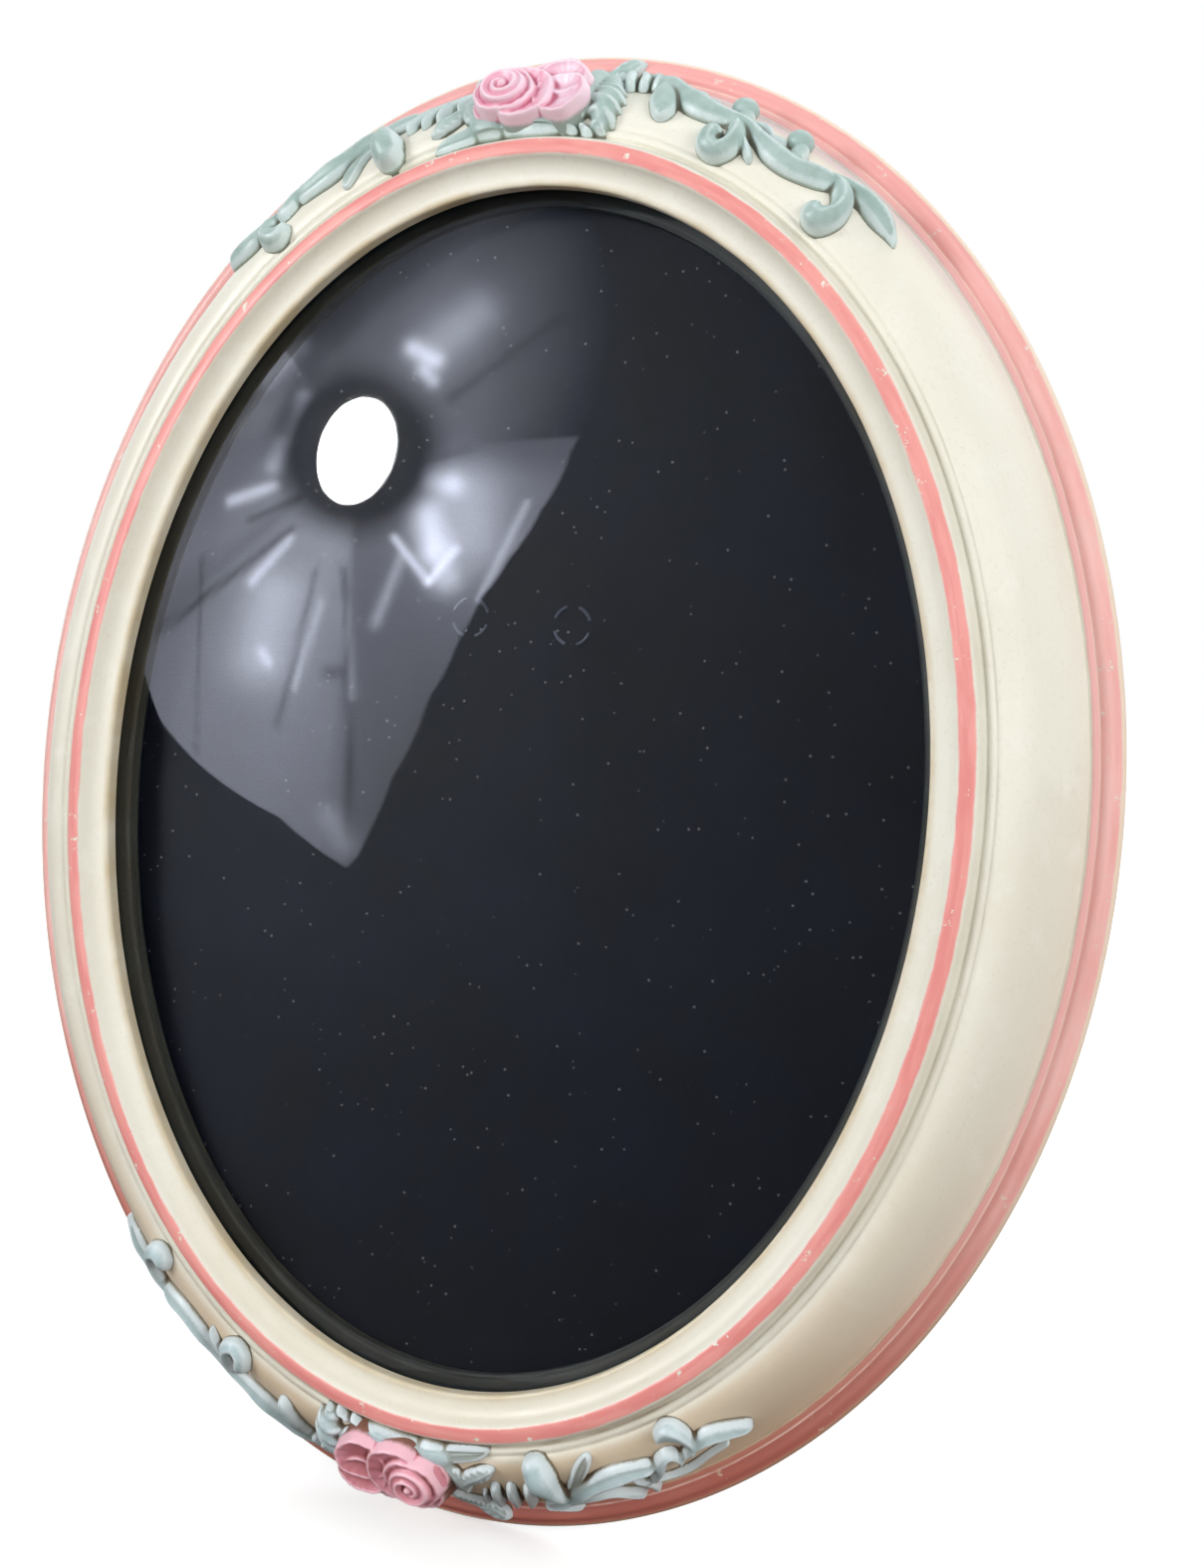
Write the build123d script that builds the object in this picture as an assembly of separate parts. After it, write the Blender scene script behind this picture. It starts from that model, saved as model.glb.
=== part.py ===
from build123d import *
import math
import os

# Oval picture frame that stands on an easel strut. Lengths are in millimetres, angles in degrees.
# Each piece is drawn flat: the oval's centre is the origin, the back plane is y = 0,
# "forward" is measured towards -Y and "offset" outward from the edge of the sight opening.
# stand() then leans every piece back about X and lifts it onto the table at z = 0.

# Stance
lean_angle = 15.7
strut_open_angle = 24.0
overrun = 1.0

# Sight opening and moulding section, from the sight edge outward
sight_width = 142.4
sight_height = 194.0
cove_width = 4.6
stripe_width = 2.45
step_width = 1.05
shelf_width = 2.1
cushion_width = 11.2
inner_bead_width = 1.35
band_width = 2.65
edge_width = 1.1
crest_height = 20.2
lip_drop = 2.1
lip_thickness = 2.6
stripe_fall = 0.7
step_drop = 2.0
shelf_fall = 0.5
foot_height = 2.8
bead_rise = 0.3
groove_depth = 0.6
band_rise = 0.2
edge_height = 0.6
cushion_steps = 4
cushion_ease = 1.5
cove_wall_share = 0.82
cove_fall_share = 0.5

# Glazing and backing, from the glass back to the board
glass_lap = 4.6
glass_thickness = 2.0
glass_rise = 12.0
dome_shares = [1.0, 0.78, 0.56, 0.34, 0.12]
glass_sides = 60
seat_clearance = 0.05
rabbet_clearance = 0.4
spacer_thickness = 1.9
spacer_overlap = 2.0
lining_thickness = 0.6
board_thickness = 2.6
ledge_width = 7.0

# Easel hinge, its rivets and the strut
mark_height = 28.0
rivet_pitch = 18.0
rivet_radius = 1.6
fastener_sides = 12
rivet_head_radius = 3.0
rivet_head_thickness = 0.6
prong_reach = 6.6
prong_turn = 45
prong_width = 1.5
prong_thickness = 0.3
leaf_thickness = 0.8
board_leaf_width = 30.0
board_leaf_height = 11.0
strut_leaf_length = 16.0
barrel_radius = 1.9
pin_radius = 0.95
pin_clearance = 0.05
knuckle_gap = 0.3
knuckle_width = 14.0
pivot_below_marks = 6.5
barrel_clearance = 0.1
stop_length = 4.0
stop_width = 8.0
strut_thickness = 2.5
strut_top_width = 26.0
strut_foot_width = 48.0
strut_corner_radius = 3.0
strut_top_gap = 0.4
strut_rivet_share = 0.62

# Turn buttons and their screws
button_length = 15.0
button_width = 5.4
button_thickness = 1.0
button_gap = 0.15
button_angle = 52.0
button_pivot_share = 0.42
screw_radius = 1.4
screw_clearance = 0.05
screw_depth = 5.0
screw_head_radius = 2.4
screw_head_height = 1.1
screw_slot_width = 0.7
screw_slot_depth = 0.5

# Sprays: the place of each one's middle round the oval, and what they take from the cushion
top_spray_angle = 92.4
bottom_spray_angle = 266.0
strand_corner_angles = [-35, 30, 90, 150, 215]
strand_stand_share = 0.5
slope_reach_share = 0.17
leaf_flat_share = 0.8

# Rose
rose_length = 19.6
rose_width = 12.8
rose_stand = 4.4
rose_depth = 14.0
rose_tilt = 28.0
rose_turn = 0.4
petal_thickness = 0.9
petal_height = 2.0
rose_across_share = 0.47
rose_sides = 12
rose_foot_shares = [0.9, 0.98, 0.72]
bud_shares = (0.23, -0.05)
cup_shares = (-0.22, 0.05)
petal_squash_share = 0.98
petal_step_angle = 50
petal_lip_shares = (0.5, -0.25)
petal_root_shares = (0.8, -0.7)
petal_end_share = 0.45

# Offsets of the section's corners, and their heights above the back plane
crest_offset = cove_width
stripe_offset = crest_offset + stripe_width
step_offset = stripe_offset + step_width
cushion_offset = step_offset + shelf_width
foot_offset = cushion_offset + cushion_width
bead_offset = foot_offset + inner_bead_width
band_offset = bead_offset + band_width
rim_offset = band_offset + edge_width
step_height = crest_height - stripe_fall - step_drop
cushion_height = step_height - shelf_fall
cushion_fall = cushion_height - foot_height
lip_height = crest_height - lip_drop
lip_back_height = lip_height - lip_thickness

# The stack behind the lip
sight_share = (sight_width / (sight_width + 2 * glass_lap)) ** 2
glass_edge_height = lip_back_height - seat_clearance - glass_rise * (1 - sight_share)
spacer_height = glass_edge_height - glass_thickness
lining_height = spacer_height - spacer_thickness
board_height = lining_height - lining_thickness
ledge_height = board_height - board_thickness
rabbet_offset = glass_lap + rabbet_clearance
recess_offset = rabbet_offset + ledge_width

# Hinge and strut places
pivot_z = mark_height - pivot_below_marks
pivot_forward = ledge_height - barrel_radius - barrel_clearance
rim_bottom = sight_height / 2 + rim_offset
table_drop = rim_bottom * math.cos(math.radians(lean_angle))


def cushion_profile():
    """Offset and height along the cushion, a parabola that starts level and ends steep."""
    points = []
    for step in range(cushion_steps + 1):
        share = 1 - (1 - step / cushion_steps) ** cushion_ease
        height = cushion_height - cushion_fall * share**2
        points.append((cushion_offset + cushion_width * share, height))
    return points


def front_profile():
    """The whole front of the moulding, from the back of the rim in to the sight edge."""
    groove_height = foot_height - groove_depth
    rim = [
        (rim_offset, 0),
        (rim_offset, edge_height),
        (band_offset, groove_height + band_rise),
        (bead_offset, groove_height),
        (bead_offset - inner_bead_width / 2, foot_height + bead_rise),
    ]
    crown = [
        (step_offset, step_height),
        (stripe_offset, crest_height - stripe_fall),
        (crest_offset, crest_height),
    ]
    cove = [
        (cove_width * cove_wall_share, crest_height - lip_drop * cove_fall_share),
        (0, lip_height),
    ]
    return rim + cushion_profile()[::-1] + crown + cove


def height_at(offset):
    """Height of the moulding's face above the back plane at an offset from the sight edge."""
    points = front_profile()
    if offset >= points[0][0]:
        return points[0][1]
    for (outer, low), (inner, high) in zip(points, points[1:]):
        if inner <= offset <= outer and outer > inner:
            return high + (low - high) * (offset - inner) / (outer - inner)
    return lip_height


def front_plane(forward):
    """A plane across the frame, facing forward, at a height above the back plane."""
    return Plane(origin=(0, -forward, 0), x_dir=(1, 0, 0), z_dir=(0, -1, 0))


def oval(offset, forward):
    return front_plane(forward) * Ellipse(sight_width / 2 + offset, sight_height / 2 + offset)


def oval_plate(offset, back, front):
    return extrude(oval(offset, back), front - back)


def rim_point(angle, offset, forward):
    turn = math.radians(angle)
    return Vector(
        (sight_width / 2 + offset) * math.cos(turn),
        -forward,
        (sight_height / 2 + offset) * math.sin(turn),
    )


def rim_axes(angle, offset):
    """Directions on the moulding's face: along the rim, across it outward, and off it."""
    turn = math.radians(angle)
    along = Vector(
        -(sight_width / 2 + offset) * math.sin(turn), 0, (sight_height / 2 + offset) * math.cos(turn)
    ).normalized()
    outward = along.cross(Vector(0, -1, 0)).normalized()
    if outward.dot(rim_point(angle, offset, 0)) < 0:
        outward = outward * -1
    reach = cushion_width * slope_reach_share
    slope = (height_at(offset + reach) - height_at(offset - reach)) / (2 * reach)
    across = (outward + Vector(0, -1, 0) * slope).normalized()
    off = (Vector(0, -1, 0) - outward * slope).normalized()
    return along, across, off


def cylinder_between(start, end, radius):
    start = Vector(*start)
    run = Vector(*end) - start
    return extrude(Plane(origin=start, z_dir=run) * Circle(radius), run.length)


def fastener_between(start, end, radius):
    """A rivet's or a screw head's round, with few sides, and the hole that it fits."""
    start = Vector(*start)
    run = Vector(*end) - start
    return extrude(Plane(origin=start, z_dir=run) * RegularPolygon(radius, fastener_sides), run.length)


def frame_moulding():
    solid = loft([oval(offset, height) for offset, height in front_profile() + [(0, ledge_height)]], ruled=True)
    solid -= oval_plate(rabbet_offset, -overrun, lip_back_height)
    solid -= oval_plate(recess_offset, -overrun, ledge_height)
    for angle in button_angles():
        seat = button_pivot(angle)
        solid -= cylinder_between(seat, seat + Vector(0, -screw_depth, 0), screw_radius)
    return solid


def dome_ring(share, drop):
    """Corners round the dome at a share of its size, and a drop below its front."""
    height = glass_edge_height + glass_rise * (1 - share**2) - drop
    ring = []
    for corner in range(glass_sides):
        turn = 2 * math.pi * corner / glass_sides
        x = (sight_width / 2 + glass_lap) * share * math.cos(turn)
        z = (sight_height / 2 + glass_lap) * share * math.sin(turn)
        ring.append(Vector(x, -height, z))
    return ring


def convex_glass():
    """A shallow dome of even thickness, from its back's middle out to the edge and in again."""
    back = [dome_ring(share, glass_thickness) for share in reversed(dome_shares)]
    front = [dome_ring(share, 0) for share in dome_shares]
    return faceted(back + front)


def spacer_ring():
    ring = oval_plate(glass_lap, lining_height, spacer_height)
    return ring - oval_plate(-spacer_overlap, lining_height - overrun, spacer_height + overrun)


def rivet_places():
    return [(side * rivet_pitch / 2, mark_height) for side in (-1, 1)]


def lining_card():
    card = oval_plate(glass_lap, board_height, lining_height)
    pocket = front_plane(board_height) * Circle(prong_reach / 2 + rabbet_clearance)
    for x, z in rivet_places():
        card -= extrude(pocket.moved(Location((x, 0, z))), prong_thickness)
    return card


def backboard():
    board = oval_plate(glass_lap, ledge_height, board_height)
    for x, z in rivet_places():
        board -= fastener_between((x, overrun, z), (x, -crest_height, z), rivet_radius)
    return board


def board_rivets():
    """Tubular rivets, headed at the back and split into four prongs under the lining."""
    rivets = []
    back = -(ledge_height - leaf_thickness)
    for x, z in rivet_places():
        rivet = fastener_between((x, back, z), (x, -board_height, z), rivet_radius)
        rivet += fastener_between((x, back, z), (x, back + rivet_head_thickness, z), rivet_head_radius)
        prongs = Rectangle(prong_reach, prong_width) + Rectangle(prong_width, prong_reach)
        cross = front_plane(board_height) * Pos(x, z) * Rotation(0, 0, prong_turn) * prongs
        rivet += extrude(cross, prong_thickness)
        rivets.append(rivet)
    return rivets


def knuckle(low, high, bore):
    """One turn of a hinge's barrel, between two places along the pin."""
    body = cylinder_between((low, -pivot_forward, pivot_z), (high, -pivot_forward, pivot_z), barrel_radius)
    return body - cylinder_between(
        (low - overrun, -pivot_forward, pivot_z), (high + overrun, -pivot_forward, pivot_z), bore
    )


def hinge_board_leaf():
    """Flat leaf on the board above the pin, with a knuckle curled at each end."""
    half = board_leaf_width / 2
    inner = knuckle_width / 2 + knuckle_gap
    top = pivot_z + board_leaf_height
    plate_centre = (pivot_z + top) / 2
    plate = front_plane(ledge_height - leaf_thickness) * Rectangle(board_leaf_width, top - pivot_z)
    leaf = extrude(plate.moved(Location((0, 0, plate_centre))), leaf_thickness)
    room = Box(2 * inner, 2 * crest_height, 2 * (barrel_radius + knuckle_gap))
    leaf -= room.moved(Location((0, 0, pivot_z)))
    for low, high in ((-half, -inner), (inner, half)):
        leaf += knuckle(low, high, pin_radius)
    for x, z in rivet_places():
        leaf -= fastener_between((x, overrun, z), (x, -crest_height, z), rivet_radius)
    return leaf


def hinge_pin():
    half = board_leaf_width / 2
    return cylinder_between((-half, -pivot_forward, pivot_z), (half, -pivot_forward, pivot_z), pin_radius)


def swing_open(piece):
    """Turns a piece of the strut about the pin from hanging straight to its open place."""
    pin = Axis((0, -pivot_forward, pivot_z), (1, 0, 0))
    return piece.rotate(pin, strut_open_angle)


def leaf_back():
    """How far behind the pin's axis the strut leaf's outer face lies."""
    return -pivot_forward + barrel_radius


def strut_rivet_places():
    run = strut_leaf_length * strut_rivet_share
    return [(side * knuckle_width * strut_rivet_share, pivot_z - run) for side in (-1, 1)]


def hinge_strut_leaf():
    """Leaf behind the strut, its middle knuckle, and the tail that stops against the board leaf."""
    front = leaf_back() - leaf_thickness
    plate = Box(
        strut_top_width, leaf_thickness, strut_leaf_length - barrel_radius,
        align=(Align.CENTER, Align.MIN, Align.MAX),
    ).moved(Location((0, front, pivot_z - barrel_radius)))
    neck = Box(
        knuckle_width, leaf_thickness, barrel_radius + overrun,
        align=(Align.CENTER, Align.MIN, Align.MAX),
    ).moved(Location((0, front, pivot_z)))
    leaf = plate + neck + knuckle(-knuckle_width / 2, knuckle_width / 2, pin_radius + pin_clearance)
    for x, z in strut_rivet_places():
        leaf -= fastener_between((x, crest_height, z), (x, -crest_height, z), rivet_radius)
    leaf = swing_open(leaf)
    # The tail stands straight up at rest, a hair behind the board leaf that it rests on
    tail = Box(
        stop_width, leaf_thickness, stop_length + barrel_radius,
        align=(Align.CENTER, Align.MIN, Align.MIN),
    ).moved(Location((0, -(ledge_height - leaf_thickness) + seat_clearance, pivot_z)))
    bore = cylinder_between(
        (-stop_width, -pivot_forward, pivot_z), (stop_width, -pivot_forward, pivot_z),
        pin_radius + pin_clearance,
    )
    return leaf + (tail - bore)


def easel_strut():
    """Tapered leg, cut square to the table at its foot."""
    front = leaf_back() - leaf_thickness - strut_thickness
    reach = pivot_z + rim_bottom + strut_foot_width
    top = -(barrel_radius + strut_top_gap)
    slant = (strut_foot_width - strut_top_width) / 2 * (reach - top) / (pivot_z + rim_bottom + top)
    low_half = strut_top_width / 2 + slant
    outline = Polyline(
        (-strut_top_width / 2, top), (strut_top_width / 2, top), (low_half, -reach), (-low_half, -reach),
        close=True,
    )
    face = fillet(make_face(outline).vertices().group_by(Axis.Y)[-1], strut_corner_radius)
    plane = Plane(origin=(0, front + strut_thickness, pivot_z), x_dir=(1, 0, 0), z_dir=(0, -1, 0))
    strut = extrude(plane * face, strut_thickness)
    for x, z in strut_rivet_places():
        strut -= fastener_between((x, crest_height, z), (x, -2 * crest_height, z), rivet_radius)
    strut = stand(swing_open(strut))
    floor = Box(
        4 * strut_foot_width, 4 * rim_bottom, reach, align=(Align.CENTER, Align.CENTER, Align.MAX)
    )
    return strut - floor


def strut_rivets():
    """Headed behind the leaf and spread in front of the strut."""
    rivets = []
    back = leaf_back()
    front = back - leaf_thickness - strut_thickness
    for x, z in strut_rivet_places():
        rivet = fastener_between((x, back, z), (x, front, z), rivet_radius)
        rivet += fastener_between((x, back, z), (x, back + rivet_head_thickness, z), rivet_head_radius)
        rivet += fastener_between((x, front, z), (x, front - prong_thickness, z), rivet_head_radius)
        rivets.append(swing_open(rivet))
    return rivets


def button_angles():
    return [button_angle, 180 - button_angle, 180 + button_angle, 360 - button_angle]


def button_pivot(angle):
    """Where a turn button's screw enters the ledge."""
    return rim_point(angle, rabbet_offset + ledge_width * button_pivot_share, ledge_height)


def turn_button(angle):
    """A round-ended plate on its screw, turned in over the backboard."""
    pivot = button_pivot(angle)
    along, across, off = rim_axes(angle, rabbet_offset)
    inward = Vector(0, -1, 0).cross(along).normalized()
    if inward.dot(pivot) > 0:
        inward = inward * -1
    plane = Plane(origin=pivot + Vector(0, button_gap, 0), x_dir=inward, z_dir=(0, 1, 0))
    plate = plane * Pos(button_length / 2 - button_width / 2, 0) * SlotOverall(button_length, button_width)
    hole = plane * Circle(screw_radius + screw_clearance)
    return extrude(plate - hole, button_thickness)


def turn_button_screws():
    screws = []
    for angle in button_angles():
        pivot = button_pivot(angle)
        neck = pivot + Vector(0, button_thickness + 2 * button_gap, 0)
        head = neck + Vector(0, screw_head_height, 0)
        screw = cylinder_between(pivot + Vector(0, -screw_depth, 0), neck, screw_radius)
        screw += fastener_between(neck, head, screw_head_radius)
        slot = Box(screw_slot_width, 2 * screw_slot_depth, 3 * screw_head_radius)
        screws.append(screw - slot.moved(Location(head)))
    return screws


def flat_face(corners):
    return Face(Wire.make_polygon(corners, close=True))


def faceted(rings):
    """A solid of flat facets through rings of corners, so that a twisted stem stays light."""
    faces = [flat_face(rings[0]), flat_face(rings[-1])]
    for ring, after in zip(rings, rings[1:]):
        for index in range(len(ring)):
            following = (index + 1) % len(ring)
            faces.append(flat_face([ring[index], ring[following], after[index]]))
            faces.append(flat_face([ring[following], after[following], after[index]]))
    return Solid(Shell(faces))


def strand(angle, stations, flat=1.0):
    """A tapering stem or leaf along the moulding: degrees from the spray's middle, then shares
    of the cushion's width for its place across and its half width, skinned through flat-footed rings."""
    points = []
    sizes = []
    for turn, across_share, half_share in stations:
        offset = cushion_offset + cushion_width * across_share
        half = cushion_width * half_share
        off = rim_axes(angle + turn, offset)[2]
        foot = rim_point(angle + turn, offset, height_at(offset))
        points.append(foot + off * (half * flat * strand_stand_share))
        sizes.append((off, half))
    rings = []
    for index, (point, (off, half)) in enumerate(zip(points, sizes)):
        before = points[max(index - 1, 0)]
        after = points[min(index + 1, len(points) - 1)]
        run = (after - before).normalized()
        side = run.cross(off).normalized()
        rise = side.cross(run) * (half * flat)
        spins = [math.radians(angle) for angle in strand_corner_angles]
        rings.append([point + side * (half * math.cos(spin)) + rise * math.sin(spin) for spin in spins])
    return faceted(rings)


# Strands of the spray's two garlands: (degrees from its middle, across share, half-width share)
stem_garland_shares = [
    [(-8.2, 0.86, 0.16), (-12.5, 0.81, 0.22), (-17, 0.65, 0.24), (-22.5, 0.60, 0.20), (-27, 0.49, 0.20),
     (-30.5, 0.53, 0.21), (-34.6, 0.72, 0.24), (-38, 0.73, 0.21), (-41, 0.66, 0.05)],
    [(-30.6, 0.56, 0.16), (-33.4, 0.57, 0.19), (-34.6, 0.32, 0.20), (-33.6, 0.12, 0.21), (-32.4, 0.20, 0.16)],
    [(-28.6, 0.54, 0.15), (-27.9, 0.82, 0.19), (-26.2, 0.94, 0.14)],
    [(-22.4, 0.64, 0.17), (-21.4, 0.90, 0.20), (-19.7, 0.98, 0.14)],
    [(-22.0, 0.62, 0.17), (-23.1, 0.34, 0.18), (-21.8, 0.08, 0.19), (-20.0, 0.14, 0.18), (-20.4, 0.36, 0.10)],
    [(-22.4, 0.52, 0.13), (-25.4, 0.24, 0.05)],
    [(-12.0, 0.76, 0.20), (-13.4, 0.45, 0.23), (-13.6, 0.22, 0.10)],
    [(-6.6, 1.00, 0.13), (-9.0, 0.56, 0.08)],
    [(-8.4, 1.00, 0.13), (-10.5, 0.58, 0.08)],
    [(-10.0, 0.98, 0.13), (-11.7, 0.70, 0.12)],
]
ball_garland_shares = [
    [(9.0, 0.94, 0.12), (14.2, 0.93, 0.18), (18, 0.78, 0.19), (21, 0.60, 0.20), (26, 0.49, 0.20),
     (31, 0.60, 0.21), (36, 0.56, 0.24), (39.6, 0.70, 0.06)],
    [(30.6, 0.56, 0.15), (33.4, 0.46, 0.20), (33.4, 0.14, 0.20), (31.4, 0.22, 0.14)],
    [(28.2, 0.60, 0.15), (30.4, 0.76, 0.18), (31.6, 0.58, 0.11)],
    [(19.0, 0.70, 0.18), (18.1, 0.44, 0.30), (17.6, 0.16, 0.27), (17.4, 0.00, 0.12)],
    [(20.6, 0.60, 0.15), (22.4, 0.37, 0.19), (23.8, 0.10, 0.08)],
    [(27.4, 0.56, 0.15), (26.6, 0.84, 0.18), (24.6, 1.04, 0.11)],
    [(15.4, 0.86, 0.16), (18.2, 1.12, 0.11)],
    [(9.4, 1.00, 0.13), (12.4, 0.46, 0.09)],
    [(11.2, 1.00, 0.13), (14.2, 0.46, 0.09)],
    [(13.0, 1.00, 0.13), (15.8, 0.50, 0.09)],
]
# Leaves round the rose, the same way, in three clusters that each lie in one piece
rose_leaf_shares = [
    [
        [(-3.0, -0.06, 0.12), (-1.0, -0.12, 0.25), (1.2, -0.11, 0.24), (2.6, -0.06, 0.16)],
        [(1.4, -0.04, 0.14), (4.4, -0.06, 0.25), (7.2, 0.14, 0.20), (8.6, 0.30, 0.08)],
    ],
    [
        [(6.0, 0.24, 0.12), (9.1, 0.02, 0.20), (11.4, -0.16, 0.06)],
        [(6.4, 0.50, 0.16), (9.3, 0.32, 0.22), (11.6, 0.20, 0.06)],
        [(6.2, 0.70, 0.14), (6.8, 0.46, 0.18), (6.4, 0.24, 0.14)],
        [(5.4, 0.80, 0.14), (8.1, 1.10, 0.20), (10.4, 1.28, 0.05)],
    ],
    [
        [(-3.2, 0.92, 0.12), (-5.6, 1.16, 0.19), (-7.6, 1.34, 0.05)],
        [(-3.6, 0.96, 0.20), (-5.4, 0.58, 0.36), (-6.0, 0.17, 0.30), (-5.8, -0.08, 0.10)],
        [(-5.0, 0.86, 0.12), (-7.8, 0.82, 0.06)],
        [(-5.4, 0.68, 0.12), (-8.6, 0.64, 0.06)],
        [(-5.6, 0.46, 0.13), (-9.0, 0.42, 0.06)],
        [(-5.6, 0.26, 0.13), (-9.0, 0.16, 0.06)],
        [(-5.6, 0.08, 0.14), (-8.8, -0.10, 0.08)],
    ],
]


def rose_plane(angle):
    """The plane that a rose's petals stand on: u runs along the rim, v outward across it."""
    offset = cushion_offset + cushion_width * rose_across_share
    along, across, off = rim_axes(angle + rose_turn, offset)
    outward = along.cross(Vector(0, -1, 0)).normalized()
    if outward.dot(rim_point(angle, offset, 0)) < 0:
        outward = outward * -1
    tilt = math.radians(rose_tilt)
    face = Vector(0, -1, 0) * math.cos(tilt) + outward * math.sin(tilt)
    middle = rim_point(angle + rose_turn, offset, height_at(offset) + rose_stand)
    return Plane(origin=middle, x_dir=along, z_dir=face)


def petal(plane, centre_shares, reach_shares, sweep, lean_share):
    """A curved wall that stands on the rose, thin at its rim and leaning outward. Its centre and
    reach are shares of the rose's length and width, and its sweep is in degrees."""
    steps = math.ceil(abs(sweep[1] - sweep[0]) / petal_step_angle)
    centre = Vector(rose_length * centre_shares[0], rose_width * centre_shares[1])
    rings = []
    for step in range(steps + 1):
        share = step / steps
        turn = math.radians(sweep[0] + (sweep[1] - sweep[0]) * share)
        reach = rose_length * (reach_shares[0] + (reach_shares[1] - reach_shares[0]) * share)
        ring = Vector(math.cos(turn), math.sin(turn) * petal_squash_share) * reach
        away = ring.normalized()
        rim = petal_height * (petal_end_share + (1 - petal_end_share) * math.sin(math.pi * share))
        root = centre + ring - Vector(0, 0, petal_height)
        lip = centre + ring + away * (lean_share * rim) + Vector(0, 0, rim)
        corners = [
            root + away * (petal_thickness * petal_root_shares[0]),
            lip + away * (petal_thickness * petal_lip_shares[0]),
            lip + away * (petal_thickness * petal_lip_shares[1]),
            root + away * (petal_thickness * petal_root_shares[1]),
        ]
        rings.append([plane.from_local_coords(corner) for corner in corners])
    return faceted(rings)


def rose_foot(plane):
    """The thick foot that fills the slope behind the petals."""
    rings = []
    for depth, share in zip((0, petal_height, rose_depth), rose_foot_shares):
        spins = [2 * math.pi * corner / rose_sides for corner in range(rose_sides)]
        ring = [Vector(rose_length * math.cos(spin), rose_width * math.sin(spin)) * (share / 2) for spin in spins]
        rings.append([plane.from_local_coords(corner - Vector(0, 0, depth)) for corner in ring])
    return faceted(rings)


# Petals: where each curls round, its start and end reach, its sweep in degrees and its outward lean
petal_shares = [
    (bud_shares, (0.045, 0.12), (0, 400), 0.1),
    (bud_shares, (0.2, 0.21), (-150, 95), 0.25),
    (bud_shares, (0.28, 0.26), (110, 262), 0.4),
    (cup_shares, (0.21, 0.22), (108, 292), 0.5),
    (cup_shares, (0.195, 0.18), (35, 128), 0.3),
]


def rose(angle):
    """A bud and a cup of petals on one thick foot."""
    plane = rose_plane(angle)
    walls = [petal(plane, *shares) for shares in petal_shares]
    return fused([rose_foot(plane)] + walls)


def fused(pieces):
    return pieces[0].fuse(*pieces[1:]).clean()


def only_solid(shape):
    """The main solid of a cut shape, without crumbs that the cut leaves behind."""
    return max(shape.solids(), key=lambda solid: solid.volume)


def seated(piece, *under):
    """A stuck-on casting, hollowed to fit the moulding and whatever lies beneath it."""
    for neighbour in under:
        piece = piece - neighbour
    return only_solid(piece)


def spray(angle, bed):
    """Rose, leaves and two garlands, each cut to fit what it is stuck to."""
    flower = seated(rose(angle), bed)
    leaves = []
    for cluster in rose_leaf_shares:
        leaf = fused([strand(angle, shares, leaf_flat_share) for shares in cluster])
        leaves.append(seated(leaf, bed, flower, *leaves))
    garlands = []
    for table in (stem_garland_shares, ball_garland_shares):
        garland = fused([strand(angle, shares) for shares in table])
        garlands.append(seated(garland, bed, flower, *leaves))
    return flower, leaves, garlands[0], garlands[1]


def stand(piece):
    """Leans a piece back about X and lifts it so that the rim's lowest edge meets the table."""
    leaned = piece.rotate(Axis((0, 0, 0), (1, 0, 0)), -lean_angle)
    return leaned.moved(Location((0, 0, table_drop)))


def build():
    moulding = frame_moulding()
    bed = moulding
    top = spray(top_spray_angle, bed)
    bottom = spray(bottom_spray_angle, bed)
    pieces = {
        "frame_moulding": [moulding],
        "convex_glass": [convex_glass()],
        "spacer_ring": [spacer_ring()],
        "lining_card": [lining_card()],
        "backboard": [backboard()],
        "board_rivets": board_rivets(),
        "hinge_board_leaf": [hinge_board_leaf()],
        "hinge_pin": [hinge_pin()],
        "hinge_strut_leaf": [hinge_strut_leaf()],
        "strut_rivets": strut_rivets(),
        "turn_button_screws": turn_button_screws(),
        "top_rose": [top[0]],
        "top_rose_leaves": top[1],
        "top_right_garland": [top[2]],
        "top_left_garland": [top[3]],
        "bottom_rose": [bottom[0]],
        "bottom_rose_leaves": bottom[1],
        "bottom_left_garland": [bottom[2]],
        "bottom_right_garland": [bottom[3]],
    }
    button_names = ["upper_right", "upper_left", "lower_left", "lower_right"]
    for name, angle in zip(button_names, button_angles()):
        pieces["turn_button_" + name] = [turn_button(angle)]
    standing = {name: [stand(piece) for piece in group] for name, group in pieces.items()}
    standing["easel_strut"] = [easel_strut()]
    return standing


def main():
    os.makedirs("parts", exist_ok=True)
    standing = build()
    whole = Compound(children=[solid for group in standing.values() for piece in group for solid in piece.solids()])
    box = whole.bounding_box()
    to_middle = Location((0, -(box.min.Y + box.max.Y) / 2, 0))
    print("depth shift", to_middle.position.Y, "box", box.min, box.max)
    for name, group in standing.items():
        solids = [solid.moved(to_middle) for piece in group for solid in piece.solids()]
        export_step(Compound(children=solids) if len(solids) > 1 else solids[0], "parts/" + name + ".step")


main()
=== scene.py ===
import math
import bpy
import bmesh
import numpy as np
from mathutils import Matrix, Vector


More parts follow.
